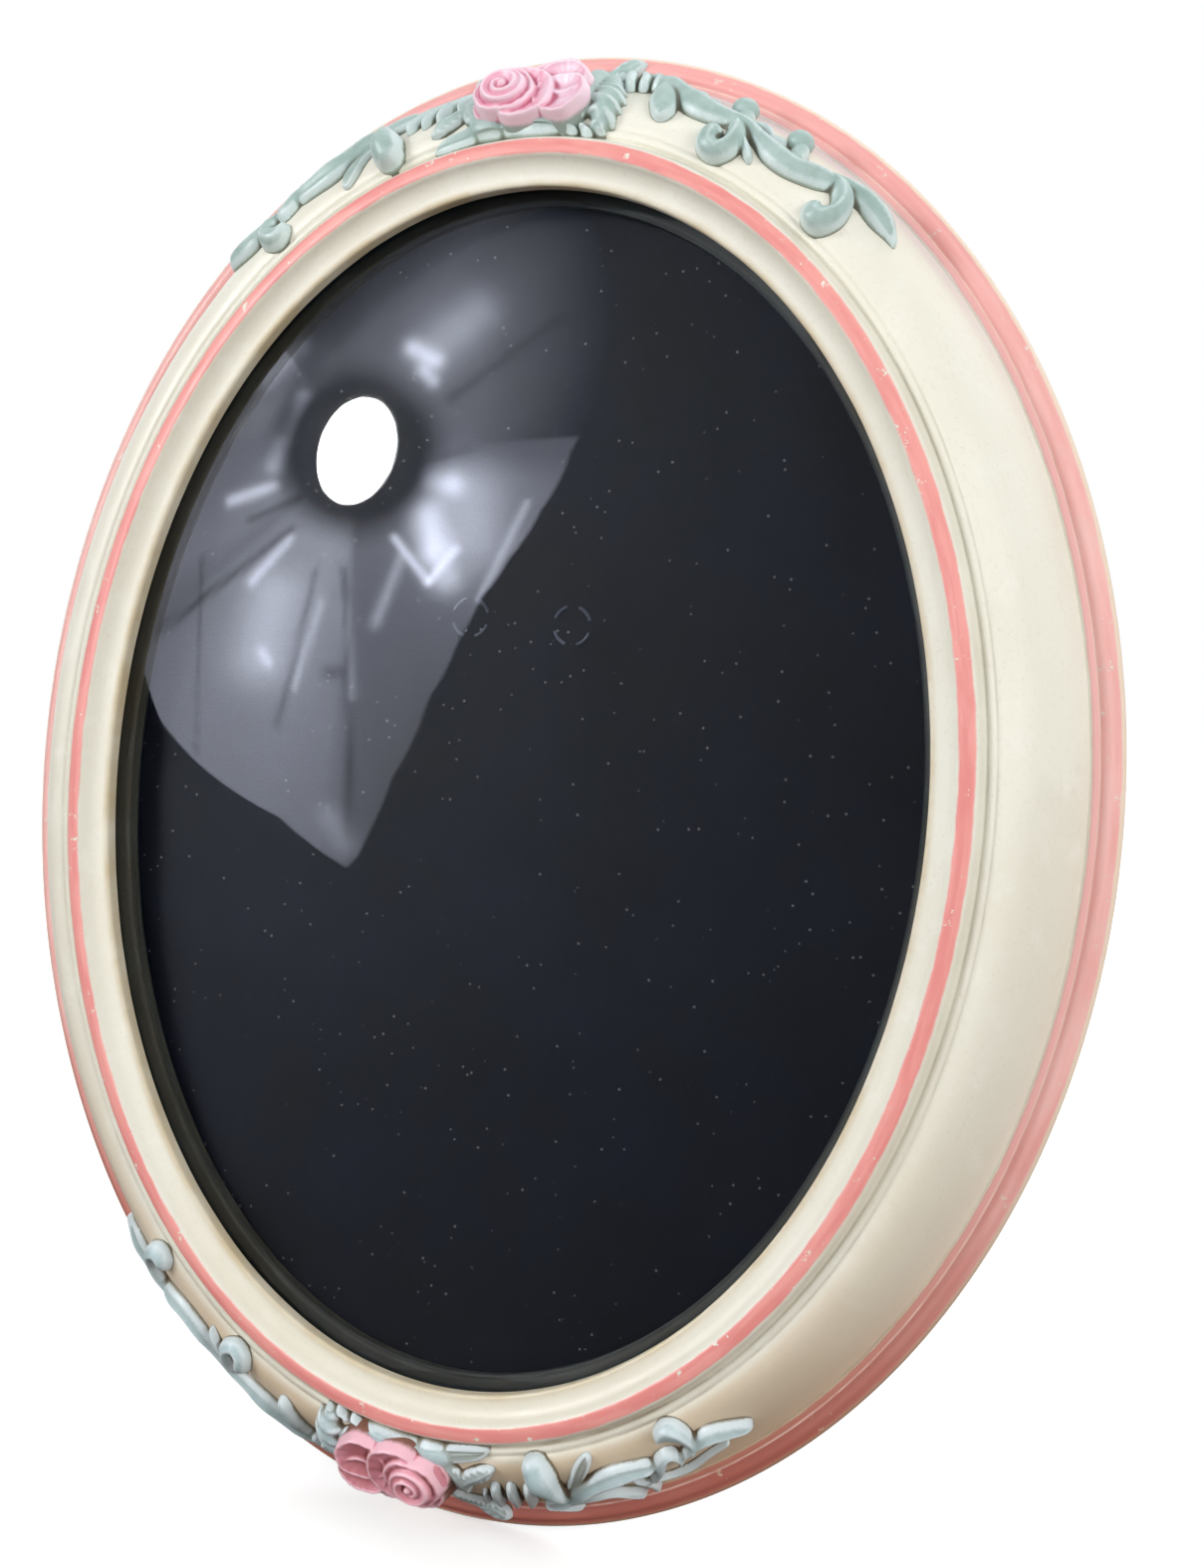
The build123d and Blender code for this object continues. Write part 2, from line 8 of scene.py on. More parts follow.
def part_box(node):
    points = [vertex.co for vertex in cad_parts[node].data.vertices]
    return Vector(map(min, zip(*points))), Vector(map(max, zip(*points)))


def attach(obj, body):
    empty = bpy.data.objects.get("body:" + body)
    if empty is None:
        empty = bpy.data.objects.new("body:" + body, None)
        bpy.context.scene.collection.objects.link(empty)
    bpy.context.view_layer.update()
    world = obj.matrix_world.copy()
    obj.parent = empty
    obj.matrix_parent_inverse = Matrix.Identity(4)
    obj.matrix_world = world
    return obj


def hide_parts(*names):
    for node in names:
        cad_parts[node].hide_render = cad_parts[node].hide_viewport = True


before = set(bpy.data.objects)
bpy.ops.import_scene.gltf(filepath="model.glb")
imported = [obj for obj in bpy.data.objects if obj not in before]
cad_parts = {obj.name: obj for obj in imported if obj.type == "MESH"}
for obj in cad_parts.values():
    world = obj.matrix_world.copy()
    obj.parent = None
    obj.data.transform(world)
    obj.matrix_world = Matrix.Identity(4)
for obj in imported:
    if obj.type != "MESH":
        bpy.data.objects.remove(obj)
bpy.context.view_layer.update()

# Pieces are drawn flat and then stood up. Flat, the oval's centre is the origin, the back plane is y = 0
# and the front faces -Y. "Across" runs outward from the sight edge and "height" forward from the back
# plane, in millimetres, and "turn" is the angle round the oval in degrees.
mm = 0.001
stance = {"lean": 15.7, "halfWidth": 71.2, "halfHeight": 97.0, "rim": 26.5}
lean = math.radians(stance["lean"])
rimReach = (stance["halfHeight"] + stance["rim"]) * mm
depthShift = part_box("frame_moulding")[1].y - rimReach * math.sin(lean)
standUp = (Matrix.Translation((0, depthShift, rimReach * math.cos(lean)))
           @ Matrix.Rotation(-lean, 4, "X"))
print("stood up with depth shift", round(depthShift * 1000, 3), "mm")


def inScene(name, data):
    thing = bpy.data.objects.new(name, data)
    bpy.context.scene.collection.objects.link(thing)
    return thing


# Camera at the photograph's angle, given flat and then stood up with the frame
camera = {
    "target": (0.012814, 0.0, 0.002794),
    "azimuth": 20.5711,
    "elevation": 1.5033,
    "distance": 0.33170,
    "roll": 5.6799,
    "lens": 45.714,
}


def makeCamera():
    a = math.radians(camera["azimuth"])
    e = math.radians(camera["elevation"])
    r = math.radians(camera["roll"])
    back = Vector((math.sin(a) * math.cos(e), -math.cos(a) * math.cos(e), math.sin(e)))
    right = (-back).cross(Vector((0, 0, 1))).normalized()
    up = right.cross(-back)
    x = right * math.cos(r) + up * math.sin(r)
    y = up * math.cos(r) - right * math.sin(r)
    place = Matrix((x, y, back)).transposed().to_4x4()
    place.translation = Vector(camera["target"]) + back * camera["distance"]
    camera["flatPlace"] = place
    data = bpy.data.cameras.new("photoCamera")
    data.lens = camera["lens"]
    data.clip_start = 0.01
    data.clip_end = 20
    made = inScene("photoCamera", data)
    made.matrix_world = standUp @ place
    bpy.context.scene.camera = made


makeCamera()


# Small helpers for shader and geometry trees: a socket knows the tree that it is in
def shade(red, green, blue):
    # linear colour from the 0 to 255 numbers of a colour picker
    parts = [c / 255 for c in (red, green, blue)]
    linear = [c / 12.92 if c <= 0.04045 else ((c + 0.055) / 1.055) ** 2.4 for c in parts]
    return (*linear, 1.0)


def add(tree, kind, inputs=None, out=0, **settings):
    node = tree.nodes.new(kind)
    for key, value in settings.items():
        setattr(node, key, value)
    for key, value in (inputs or {}).items():
        if isinstance(value, bpy.types.NodeSocket):
            tree.links.new(value, node.inputs[key])
        else:
            node.inputs[key].default_value = value
    return node.outputs[out]


def maths(operation, *values, clamp=False):
    tree = next(v.id_data for v in values if isinstance(v, bpy.types.NodeSocket))
    return add(tree, "ShaderNodeMath", dict(enumerate(values)), operation=operation, use_clamp=clamp)


def times(first, second, clamp=False):
    return maths("MULTIPLY", first, second, clamp=clamp)


def plus(first, second):
    return maths("ADD", first, second)


def minus(first, second):
    return maths("SUBTRACT", first, second)


def mixed(factor, first, second):
    return add(factor.id_data, "ShaderNodeMix", {0: factor, 6: first, 7: second}, 2, data_type="RGBA")


def between(value, low, high, start=0.0, end=1.0, smooth=True):
    return add(value.id_data, "ShaderNodeMapRange", {0: value, 1: low, 2: high, 3: start, 4: end},
               interpolation_type="SMOOTHSTEP" if smooth else "LINEAR")


def withinBand(value, low, high, soft):
    # 1 from low to high, with soft sides
    rise = between(value, low - soft, low + soft)
    return times(rise, between(value, high - soft, high + soft, 1, 0))


def layered(colour, *layers):
    # paint over paint: each layer is where it lies and its colour
    for mask, paint in layers:
        colour = mixed(mask, colour, paint)
    return colour


def noise(place, size, detail=3.0, rough=0.5, stretch=0.0, offset=None):
    # noise whose size is in millimetres
    if offset:
        place = add(place.id_data, "ShaderNodeVectorMath", {0: place, 1: offset}, operation="ADD")
    return add(place.id_data, "ShaderNodeTexNoise", {
        "Vector": place, "Scale": 1000 / size, "Detail": detail, "Roughness": rough, "Distortion": stretch})


def axesOf(vector):
    node = vector.id_data.nodes.new("ShaderNodeSeparateXYZ")
    vector.id_data.links.new(vector, node.inputs[0])
    return node.outputs


def attribute(tree, name, out=2):
    return add(tree, "ShaderNodeAttribute", out=out, attribute_name=name)


def startMaterial(name, rough=0.5, metal=0.0, specular=0.5):
    material = bpy.data.materials.new(name)
    material.use_nodes = True
    tree = material.node_tree
    shader = tree.nodes["Principled BSDF"]
    shader.inputs["Roughness"].default_value = rough
    shader.inputs["Metallic"].default_value = metal
    shader.inputs["Specular IOR Level"].default_value = specular
    place = add(tree, "ShaderNodeTexCoord", out=3)
    return material, tree, shader, place


def finishMaterial(shader, colour, rough, height, strength, distance):
    # links a finish: height is bumped by so many millimetres
    tree = colour.id_data
    tree.links.new(colour, shader.inputs["Base Color"])
    if rough is not None:
        tree.links.new(rough, shader.inputs["Roughness"])
    normal = add(tree, "ShaderNodeBump", {
        "Height": height, "Strength": strength, "Distance": distance * mm})
    tree.links.new(normal, shader.inputs["Normal"])


def finishPiece(name, mesh, body, replaced, angle, flat=True):
    # stands the mesh up and puts it into the scene, with edges sharper than the angle left sharp
    if flat:
        mesh.transform(standUp)
    for polygon in mesh.polygons:
        polygon.use_smooth = True
    mesh.set_sharp_from_angle(angle=math.radians(angle))
    mesh.name = name
    piece = inScene(name, mesh)
    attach(piece, body)
    if replaced:
        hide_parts(*replaced)
    print("made", name, "with", len(mesh.polygons), "faces")


# Small helpers for meshes
def meshOf(name, points, faces=(), edges=()):
    mesh = bpy.data.meshes.new(name)
    mesh.from_pydata([tuple(p) for p in points], edges, faces)
    mesh.update()
    return mesh


def reworked(mesh, edit):
    work = bmesh.new()
    work.from_mesh(mesh)
    edit(work)
    work.to_mesh(mesh)
    work.free()
    return mesh


def facedOut(mesh):
    return reworked(mesh, lambda work: bmesh.ops.recalc_face_normals(work, faces=work.faces))


def gridFaces(long, wide):
    # quads of a grid whose points are listed row by row
    return [(i * wide + j, (i + 1) * wide + j, (i + 1) * wide + j + 1, i * wide + j + 1)
            for i in range(long - 1) for j in range(wide - 1)]


def modified(mesh, kind, settings, inputs=None):
    # plain mesh after one modifier; a tree's inputs are given by name and set by socket identifier
    holder = inScene("holder", mesh)
    modifier = holder.modifiers.new(kind, kind)
    for key, value in settings.items():
        setattr(modifier, key, value)
    if inputs:
        for item in modifier.node_group.interface.items_tree:
            if item.item_type == "SOCKET" and item.in_out == "INPUT" and item.name in inputs:
                modifier[item.identifier] = inputs[item.name]
    bpy.context.view_layer.update()
    graph = bpy.context.evaluated_depsgraph_get()
    made = bpy.data.meshes.new_from_object(
        holder.evaluated_get(graph), preserve_all_data_layers=True, depsgraph=graph)
    holder.modifiers.remove(modifier)
    bpy.data.objects.remove(holder)
    return made


def grown(start, tree, inputs):
    # plain mesh that the tree makes from a start mesh
    return modified(start, "NODES", {"node_group": tree}, inputs)


def startTree(name, inputs):
    tree = bpy.data.node_groups.new(name, "GeometryNodeTree")
    tree.interface.new_socket("Geometry", in_out="INPUT", socket_type="NodeSocketGeometry")
    tree.interface.new_socket("Geometry", in_out="OUTPUT", socket_type="NodeSocketGeometry")
    for label, kind in inputs.items():
        tree.interface.new_socket(label, in_out="INPUT", socket_type="NodeSocket" + kind)
    entry = tree.nodes.new("NodeGroupInput")
    leave = tree.nodes.new("NodeGroupOutput")
    return tree, entry.outputs, leave.inputs[0]


def endTree(tree, leave, geometry, material):
    whole = add(tree, "GeometryNodeRealizeInstances", {"Geometry": geometry})
    painted = add(tree, "GeometryNodeSetMaterial", {"Geometry": whole, "Material": material})
    tree.links.new(painted, leave)
    return tree


# A section swept round the oval, or round an axis where both half sizes are 0
mergeDistance = 2e-6
sweepFade = 2 * mm  # height over which the unevenness comes in


def makeSweepTree():
    tree, entry, leave = startTree("sweptSection", {
        "Half width": "Float", "Half height": "Float", "Stretch": "Float", "Steps round": "Int",
        "Unevenness": "Float", "Uneven size": "Float", "Level above": "Float", "Front rows": "Int",
        "Material": "Material"})
    count = add(tree, "GeometryNodeAttributeDomainSize", {0: entry["Geometry"]})
    grid = add(tree, "GeometryNodeMeshGrid", {
        "Vertices X": plus(entry["Steps round"], 1.0), "Vertices Y": count})
    index = add(tree, "GeometryNodeInputIndex")
    column = maths("FLOOR", maths("DIVIDE", plus(index, 0.5), count))
    row = minus(index, times(column, count))
    turn = times(maths("DIVIDE", column, entry["Steps round"]), math.tau)
    cosine = maths("COSINE", turn)
    sine = maths("SINE", turn)
    position = add(tree, "GeometryNodeInputPosition")
    across, _, height = axesOf(add(tree, "GeometryNodeSampleIndex", {
        0: entry["Geometry"], 1: position, 2: row}, data_type="FLOAT_VECTOR", domain="POINT"))
    wide = plus(entry["Half width"], across)
    tall = maths("MULTIPLY_ADD", across, entry["Stretch"], entry["Half height"])
    place = add(tree, "ShaderNodeCombineXYZ", {
        0: times(wide, cosine), 1: times(height, -1.0), 2: times(tall, sine)})
    # the paint reads the direction round, the millimetres across and whether it is on the front
    around = add(tree, "ShaderNodeCombineXYZ", {0: cosine, 1: sine, 2: times(across, 1000.0)})
    fore = maths("LESS_THAN", row, minus(entry["Front rows"], 0.5))
    for name, value, kind in (("around", around, "FLOAT_VECTOR"), ("fore", fore, "FLOAT")):
        grid = add(tree, "GeometryNodeStoreNamedAttribute", {
            "Geometry": grid, "Name": name, "Value": value}, data_type=kind, domain="POINT")
    shaped = add(tree, "GeometryNodeSetPosition", {"Geometry": grid, "Position": place})
    merged = add(tree, "GeometryNodeMergeByDistance", {"Geometry": shaped, "Distance": mergeDistance})
    # slow unevenness of a hand-rubbed mould, only well above the back
    here = add(tree, "GeometryNodeInputPosition")
    wave = add(tree, "ShaderNodeTexNoise", {
        "Vector": here, "Scale": maths("DIVIDE", 1.0, entry["Uneven size"]), "Detail": 2.0})
    lift = times(minus(wave, 0.5), entry["Unevenness"])
    level = between(times(axesOf(here)[1], -1.0), entry["Level above"],
                    plus(entry["Level above"], sweepFade), smooth=False)
    offset = add(tree, "ShaderNodeVectorMath", {
        0: add(tree, "GeometryNodeInputNormal"), 3: times(lift, level)}, operation="SCALE")
    uneven = add(tree, "GeometryNodeSetPosition", {"Geometry": merged, "Offset": offset})
    smooth = add(tree, "GeometryNodeSetShadeSmooth", {"Geometry": uneven, "Shade Smooth": True})
    return endTree(tree, leave, smooth, entry["Material"])


sweepTree = makeSweepTree()


def swept(section, values):
    # plain mesh of (across, height) points in millimetres carried round
    points = [(across * mm, 0, height * mm) for across, height in section]
    start = meshOf("section", points, edges=[(i, i + 1) for i in range(len(points) - 1)])
    defaults = {"Half width": 0.0, "Half height": 0.0, "Stretch": 1.0, "Steps round": 96,
                "Unevenness": 0.0, "Uneven size": 0.02, "Level above": 0.0, "Front rows": 0}
    return facedOut(grown(start, sweepTree, {**defaults, **values}))


# The moulding's section
moulding = {
    "cushionStart": 10.2,
    "cushionWidth": 11.2,
    "cushionTop": 17.0,
    "cushionFoot": 2.8,
    "cushionSteps": 30,
    "rimBeads": [
        (26.47, 0), (26.47, 0.3), (26.4, 0.6), (26.2, 0.9), (25.9, 1.12), (25.5, 1.36), (25.15, 1.8),
        (24.8, 2.25), (24.4, 2.52), (23.95, 2.6), (23.5, 2.5), (23.15, 2.3), (22.88, 2.18), (22.65, 2.3),
        (22.42, 2.62), (22.15, 2.88), (21.85, 2.95), (21.6, 2.86)],
    "lip": [
        (10.0, 16.9), (9.85, 16.88), (9.7, 16.95), (9.5, 17.14), (9.3, 17.27), (9.05, 17.32), (8.8, 17.25),
        (8.6, 17.08), (8.45, 16.97), (8.3, 16.98), (8.15, 17.12), (8.0, 17.5), (7.8, 18.1), (7.6, 18.7),
        (7.42, 19.15), (7.25, 19.42), (7.0, 19.6), (6.6, 19.78), (6.1, 19.96), (5.6, 20.1), (5.1, 20.18),
        (4.75, 20.17), (4.52, 20.04), (4.32, 19.8), (4.1, 19.48), (3.8, 19.14), (3.4, 18.8), (2.9, 18.5),
        (2.3, 18.28), (1.7, 18.15), (1.1, 18.1), (0.6, 18.1), (0.3, 18.04), (0.12, 17.9), (0.03, 17.7),
        (0, 17.4), (0, 16.5), (0.02, 15.7), (0.2, 15.5)],
    "back": [(5.0, 15.5), (5.0, 6.94), (12.0, 6.94), (12.0, 0), (26.47, 0)],
    "stepsRound": 720,
    "unevenness": 0.16,
    "unevenSize": 14.0,
    "evenBelow": 3.2,
    "rounding": 1.5,  # how soon the cushion falls away from its shelf
}


def cushionPoints():
    points = []
    for step in range(moulding["cushionSteps"] + 1):
        share = 1 - (1 - step / moulding["cushionSteps"]) ** moulding["rounding"]
        height = moulding["cushionTop"] - (moulding["cushionTop"] - moulding["cushionFoot"]) * share ** 2
        points.append((moulding["cushionStart"] + moulding["cushionWidth"] * share, height))
    return points


facePoints = moulding["rimBeads"] + cushionPoints()[::-1] + moulding["lip"]
# the face as heights across it, without the last points of the lip's wall, which run back under it
faceAcross, faceUp = np.array(facePoints[:-3][::-1]).T


def faceHeight(across):
    return np.interp(across, faceAcross, faceUp)


# among these colours, painted light and shade: the tan low on the cushion, the darker cove low by the sight
# edge, the brown at the sight edge, the lilac on the top, the band's top and low tones, and the darker
# second colours of hollow, inner bead and edge, which lie low on the frame
paintColours = {
    "cream": ((237, 235, 222), (231, 227, 212), (243, 242, 232)),
    "strokes": (222, 213, 193),
    "lowCushionShade": (208, 176, 136),
    "sand": (206, 198, 176),
    "sightEdgeShade": (196, 176, 134),
    "topLilacLight": (234, 214, 224),
    "lowLipShade": (206, 196, 176),
    "hollow": ((176, 170, 146), (132, 104, 72)),
    "coral": ((242, 164, 157), (234, 144, 140), (246, 190, 182)),
    "band": ((248, 194, 188), (241, 174, 168), (240, 196, 188)),
    "bandTop": (236, 154, 152),
    "bandLowShade": (184, 96, 80),
    "innerBead": ((236, 170, 168), (200, 118, 104)),
    "line": (246, 218, 208),
    "edge": ((238, 212, 190), (170, 116, 92)),
    "foot": (206, 188, 164),
    "bare": ((214, 206, 188), (198, 188, 168), (176, 162, 138)),
}
# where each zone lies, in millimetres across, with the softness of its sides
paintZones = {
    "topLilacLight": (20.4, 21.9, 0.5),
    "stripe": (4.66, 7.1, 0.2),
    "innerBead": (21.75, 22.75, 0.12),
    "band": (22.7, 25.95, 0.16),
    "line": (22.72, 23.02, 0.1),
    "edge": (25.95, 26.7, 0.12),
    "foot": (26.43, 27.5, 0.05),
}
# grooves painted brown: from, to, softness and strength; low on the frame the brown is darker and stronger,
# a painted shade
brownGrooves = [
    (8.2, 8.6, 0.22, 0.7), (9.72, 10.05, 0.2, 0.5), (21.35, 21.6, 0.22, 0.45),
    (22.75, 23.0, 0.12, 0.1), (25.35, 25.6, 0.2, 0.35), (7.45, 8.1, 0.25, 0.35)]


def makeMouldingPaint():
    material, tree, shader, place = startMaterial("creamAndCoralPaint", 0.42)
    hue = {key: [shade(*c) for c in value] if isinstance(value[0], tuple) else shade(*value)
           for key, value in paintColours.items()}
    around = attribute(tree, "around", 1)
    across = axesOf(around)[2]
    # brush strokes run with the rim
    along = add(tree, "ShaderNodeVectorMath", {0: around, 1: (0.011, 0.011, 0.001)}, operation="MULTIPLY")
    strokes = noise(along, 0.55, 4.0, 0.6)
    longStrokes = noise(along, 1.6, 3.0, 0.5)
    blotches = noise(place, 42, 3.0, 0.5)
    mottle = noise(place, 7, 4.0, 0.6)
    grain = noise(place, 0.9, 4.0, 0.65)
    sand = noise(place, 0.8, 3.0, 0.7, offset=(9, 4, 1))
    patchy = between(noise(place, 11, 4.0, 0.6, offset=(3, 1, 2)), 0.3, 0.7, 0.35, 1.0)
    rubbed = between(noise(place, 2.2, 5.0, 0.7, offset=(7, 0, 4)), 0.625, 0.67)
    worn = between(noise(place, 3.5, 5.0, 0.7, offset=(1, 5, 2)), 0.62, 0.7)
    brushed = plus(across, times(minus(noise(place, 5, 3.0, 0.6), 0.5), 0.5))
    # painted shade over the lower part of the frame, and a painted change of tone on its top for how light
    # falls there
    level = axesOf(place)[2]
    lowShade = between(level, 0.09, 0.02)
    topLighting = between(level, 0.17, 0.235)

    def zone(name, value=brushed):
        return withinBand(value, *paintZones[name])

    dim, deep, pale = hue["cream"]
    colour = layered(
        mixed(between(blotches, 0.35, 0.65), dim, deep),
        (between(mottle, 0.5, 0.8, 0, 0.55), pale),
        (between(strokes, 0.55, 0.8, 0, 0.3), hue["strokes"]),
        # painted shade: the inner cushion turns tan low on the frame
        (times(lowShade, between(across, 9.6, 12.0, 0, 0.6)), hue["lowCushionShade"]),
        # painted shade: the cove by the sight edge darkens low on the frame
        (times(lowShade, between(across, 4.6, 3.6, 0, 0.5)), hue["lowLipShade"]),
        (between(sand, 0.55, 0.75, 0, 0.3), hue["sand"]),
        # painted brown shade at the sight edge, and on the top a painted pale lilac light beside the outer
        # beads
        (times(between(across, 1.5, 0.15, 0, 0.8), patchy), hue["sightEdgeShade"]),
        (times(times(zone("topLilacLight"), topLighting), 0.6), hue["topLilacLight"]))
    # the grooves' brown gets darker and stronger low on the frame, a painted shade
    hollowColour = mixed(lowShade, *hue["hollow"])
    lowDarker = maths("MULTIPLY_ADD", lowShade, 0.6, 0.7)
    for low, high, soft, most in brownGrooves:
        mask = times(withinBand(across, low, high, soft), times(patchy, most))
        colour = mixed(times(mask, lowDarker, clamp=True), colour, hollowColour)
    # coral stripe on the crest, and a double band at the rim with a pale line between and a pale edge. The
    # band is paler away from the top, a painted light, and the band, the inner bead and the edge are darker
    # low on the frame, a painted shade
    light, deep, pale = hue["coral"]
    coral = layered(
        light,
        (between(longStrokes, 0.35, 0.65), deep),
        (between(strokes, 0.6, 0.85, 0, 0.6), pale))
    light, deep, pale = hue["band"]
    pink = layered(
        light,
        (between(longStrokes, 0.3, 0.7), deep),
        (between(mottle, 0.45, 0.75, 0, 0.5), pale),
        (times(topLighting, 0.6), hue["bandTop"]),
        (times(lowShade, 0.85), hue["bandLowShade"]))
    colour = layered(
        colour,
        (times(zone("stripe"), minus(1.0, rubbed)), coral),
        (times(zone("innerBead"), 0.85), mixed(lowShade, *hue["innerBead"])),
        (times(zone("band"), minus(1.0, worn)), pink),
        (times(zone("line", across), between(strokes, 0.3, 0.6, 0.35, 0.85)), hue["line"]),
        (times(zone("edge"), 0.8), mixed(lowShade, *hue["edge"])),
        (zone("foot", across), hue["foot"]))
    # the back was never painted
    light, deep, sandy = hue["bare"]
    bare = layered(light, (between(mottle, 0.35, 0.65), deep), (between(sand, 0.6, 0.75, 0, 0.5), sandy))
    colour = mixed(between(attribute(tree, "fore"), 0.4, 0.9, smooth=False), bare, colour)
    pits = between(add(tree, "ShaderNodeTexVoronoi", {"Vector": place, "Scale": 160.0}), 0.05, 0.12)
    height = plus(plus(times(grain, 0.6), times(strokes, 0.4)), times(pits, 0.5))
    finishMaterial(shader, colour, between(mottle, 0.3, 0.7, 0.36, 0.5, False), height, 0.5, 0.12)
    return material


mouldingPaint = makeMouldingPaint()


def makeMoulding():
    section = facePoints + moulding["back"]
    mesh = swept(section, {
        "Half width": stance["halfWidth"] * mm, "Half height": stance["halfHeight"] * mm,
        "Steps round": moulding["stepsRound"], "Unevenness": moulding["unevenness"] * mm,
        "Uneven size": moulding["unevenSize"] * mm, "Level above": moulding["evenBelow"] * mm,
        "Front rows": len(facePoints), "Material": mouldingPaint})
    finishPiece("mouldingCasting", mesh, "frame", ["frame_moulding"], angle=38)


makeMoulding()


# Ornaments are reliefs: a height is drawn on a fine grid and laid on the moulding's face
relief = {
    "cell": 0.17,
    "margin": 3.9,
    "foot": 0.12,
    "lowest": -1.0,
    "underside": -1.5,
    "softening": 1.5,
    "wallSlope": 1.7,
    "middleAcross": 15.8,
    "height": 1.2,
    "heightShare": 0.58,  # more height for each millimetre of half width
    "ballHeight": 1.5,
    "lumps": 0.07,  # how much a strand's width swells and shrinks along it
    "leastHalf": 0.2,
    "fillet": 0.3,
    "smallFillet": 0.12,
    "outside": -9.0,
}


def rimPoint(turn, across, height):
    t = np.radians(turn)
    return np.stack([(stance["halfWidth"] + across) * np.cos(t), 0 * t - height,
                     (stance["halfHeight"] + across) * np.sin(t)], -1)


def unit(vectors):
    return vectors / np.maximum(np.linalg.norm(vectors, axis=-1, keepdims=True), 1e-12)


def softened(values, reach):
    # the values averaged over their neighbours, along every direction of the grid
    for axis in range(values.ndim):
        for _ in range(2):
            wide = [(reach, reach) if a == axis else (0, 0) for a in range(values.ndim)]
            total = np.cumsum(np.pad(values, wide, mode="edge"), axis=axis)
            zero = np.zeros_like(np.take(total, [0], axis=axis))
            total = np.concatenate([zero, total], axis=axis)
            count = values.shape[axis]
            high = np.take(total, np.arange(count) + 2 * reach + 1, axis=axis)
            low = np.take(total, np.arange(count), axis=axis)
            values = (high - low) / (2 * reach + 1)
    return values


# the face with its beads smoothed away, which the castings are drawn on
bedStep = 0.05
bedAcross = np.arange(5.0, 28.0, bedStep)
bedUp = softened(faceHeight(bedAcross), int(relief["softening"] / bedStep / 2))
bedRun = np.concatenate([[0], np.cumsum(np.hypot(np.diff(bedAcross), np.diff(bedUp)))])
bedSlope = np.gradient(bedUp, bedAcross)
turnTable = np.linspace(0, 360, 3601)
turnRun = np.concatenate([[0], np.cumsum(np.linalg.norm(np.diff(
    rimPoint(turnTable, relief["middleAcross"], 0), axis=0), axis=1))])


def alongTo(middle, turn):
    # millimetres along the rim from a spray's middle
    return np.interp(middle + turn, turnTable, turnRun) - np.interp(middle, turnTable, turnRun)


def downTo(share):
    # millimetres down the face to a share of the cushion's width
    return np.interp(moulding["cushionStart"] + moulding["cushionWidth"] * share, bedAcross, bedRun)


def bedPlace(middle, along, down):
    # points on the smoothed face and the direction off it, from millimetres along the rim and down it
    turn = np.interp(along + np.interp(middle, turnTable, turnRun), turnRun, turnTable)
    across = np.interp(down, bedRun, bedAcross)
    t = np.radians(turn)
    zero = np.zeros_like(t)
    run = unit(np.stack([-(stance["halfWidth"] + across) * np.sin(t), zero,
                         (stance["halfHeight"] + across) * np.cos(t)], -1))
    outward = np.stack([run[..., 2], zero, -run[..., 0]], -1)
    forward = np.stack([zero, zero - 1, zero], -1)
    off = unit(forward - outward * np.interp(across, bedAcross, bedSlope)[..., None])
    return rimPoint(turn, across, np.interp(across, bedAcross, bedUp)), off, run, outward


def acrossOf(points):
    # millimetres outward from the sight edge
    x, z = points[..., 0], points[..., 2]
    across = np.hypot(x, z) - 90
    for _ in range(8):  # steps towards the oval through each point
        wide = stance["halfWidth"] + across
        tall = stance["halfHeight"] + across
        miss = (x / wide) ** 2 + (z / tall) ** 2 - 1
        across = across + miss / (2 * x ** 2 / wide ** 3 + 2 * z ** 2 / tall ** 3)
    return across


def smoothed(stations, step=0.2):
    # even points on a smooth curve through stations
    knots = np.array(stations, float)
    padded = np.vstack([2 * knots[0] - knots[1], knots, 2 * knots[-1] - knots[-2]])
    runs = []
    for i in range(len(knots) - 1):
        before, start, end, after = padded[i:i + 4]
        s = np.linspace(0, 1, 20, endpoint=False)[:, None]
        bend = 2 * before - 5 * start + 4 * end - after
        twist = 3 * start - before - 3 * end + after
        runs.append(0.5 * (2 * start + (end - before) * s + bend * s ** 2 + twist * s ** 3))
    curve = np.vstack(runs + [knots[-1:]])
    length = np.concatenate([[0], np.cumsum(np.hypot(*np.diff(curve[:, :2], axis=0).T))])
    places = np.linspace(0, length[-1], max(6, int(length[-1] / step)))
    return np.stack([np.interp(places, length, curve[:, k]) for k in range(curve.shape[1])], 1), places


def greater(first, second, blend):
    # the higher of two heights, with a small fillet between them
    near = np.maximum(blend - np.abs(first - second), 0) / blend
    return np.maximum(first, second) + near * near * blend * 0.25


def rounded(share, power=2.1, flatness=0.62):
    # 1 at a strand's middle, 0 at its side and falling below outside it
    inside = np.clip(1 - np.minimum(share, 1) ** power, 0, 1) ** flatness
    return np.where(share < 1, inside, relief["wallSlope"] * (1 - share))


def ridge(side, middle, wide):
    return np.exp(-((side - middle) / wide) ** 2)


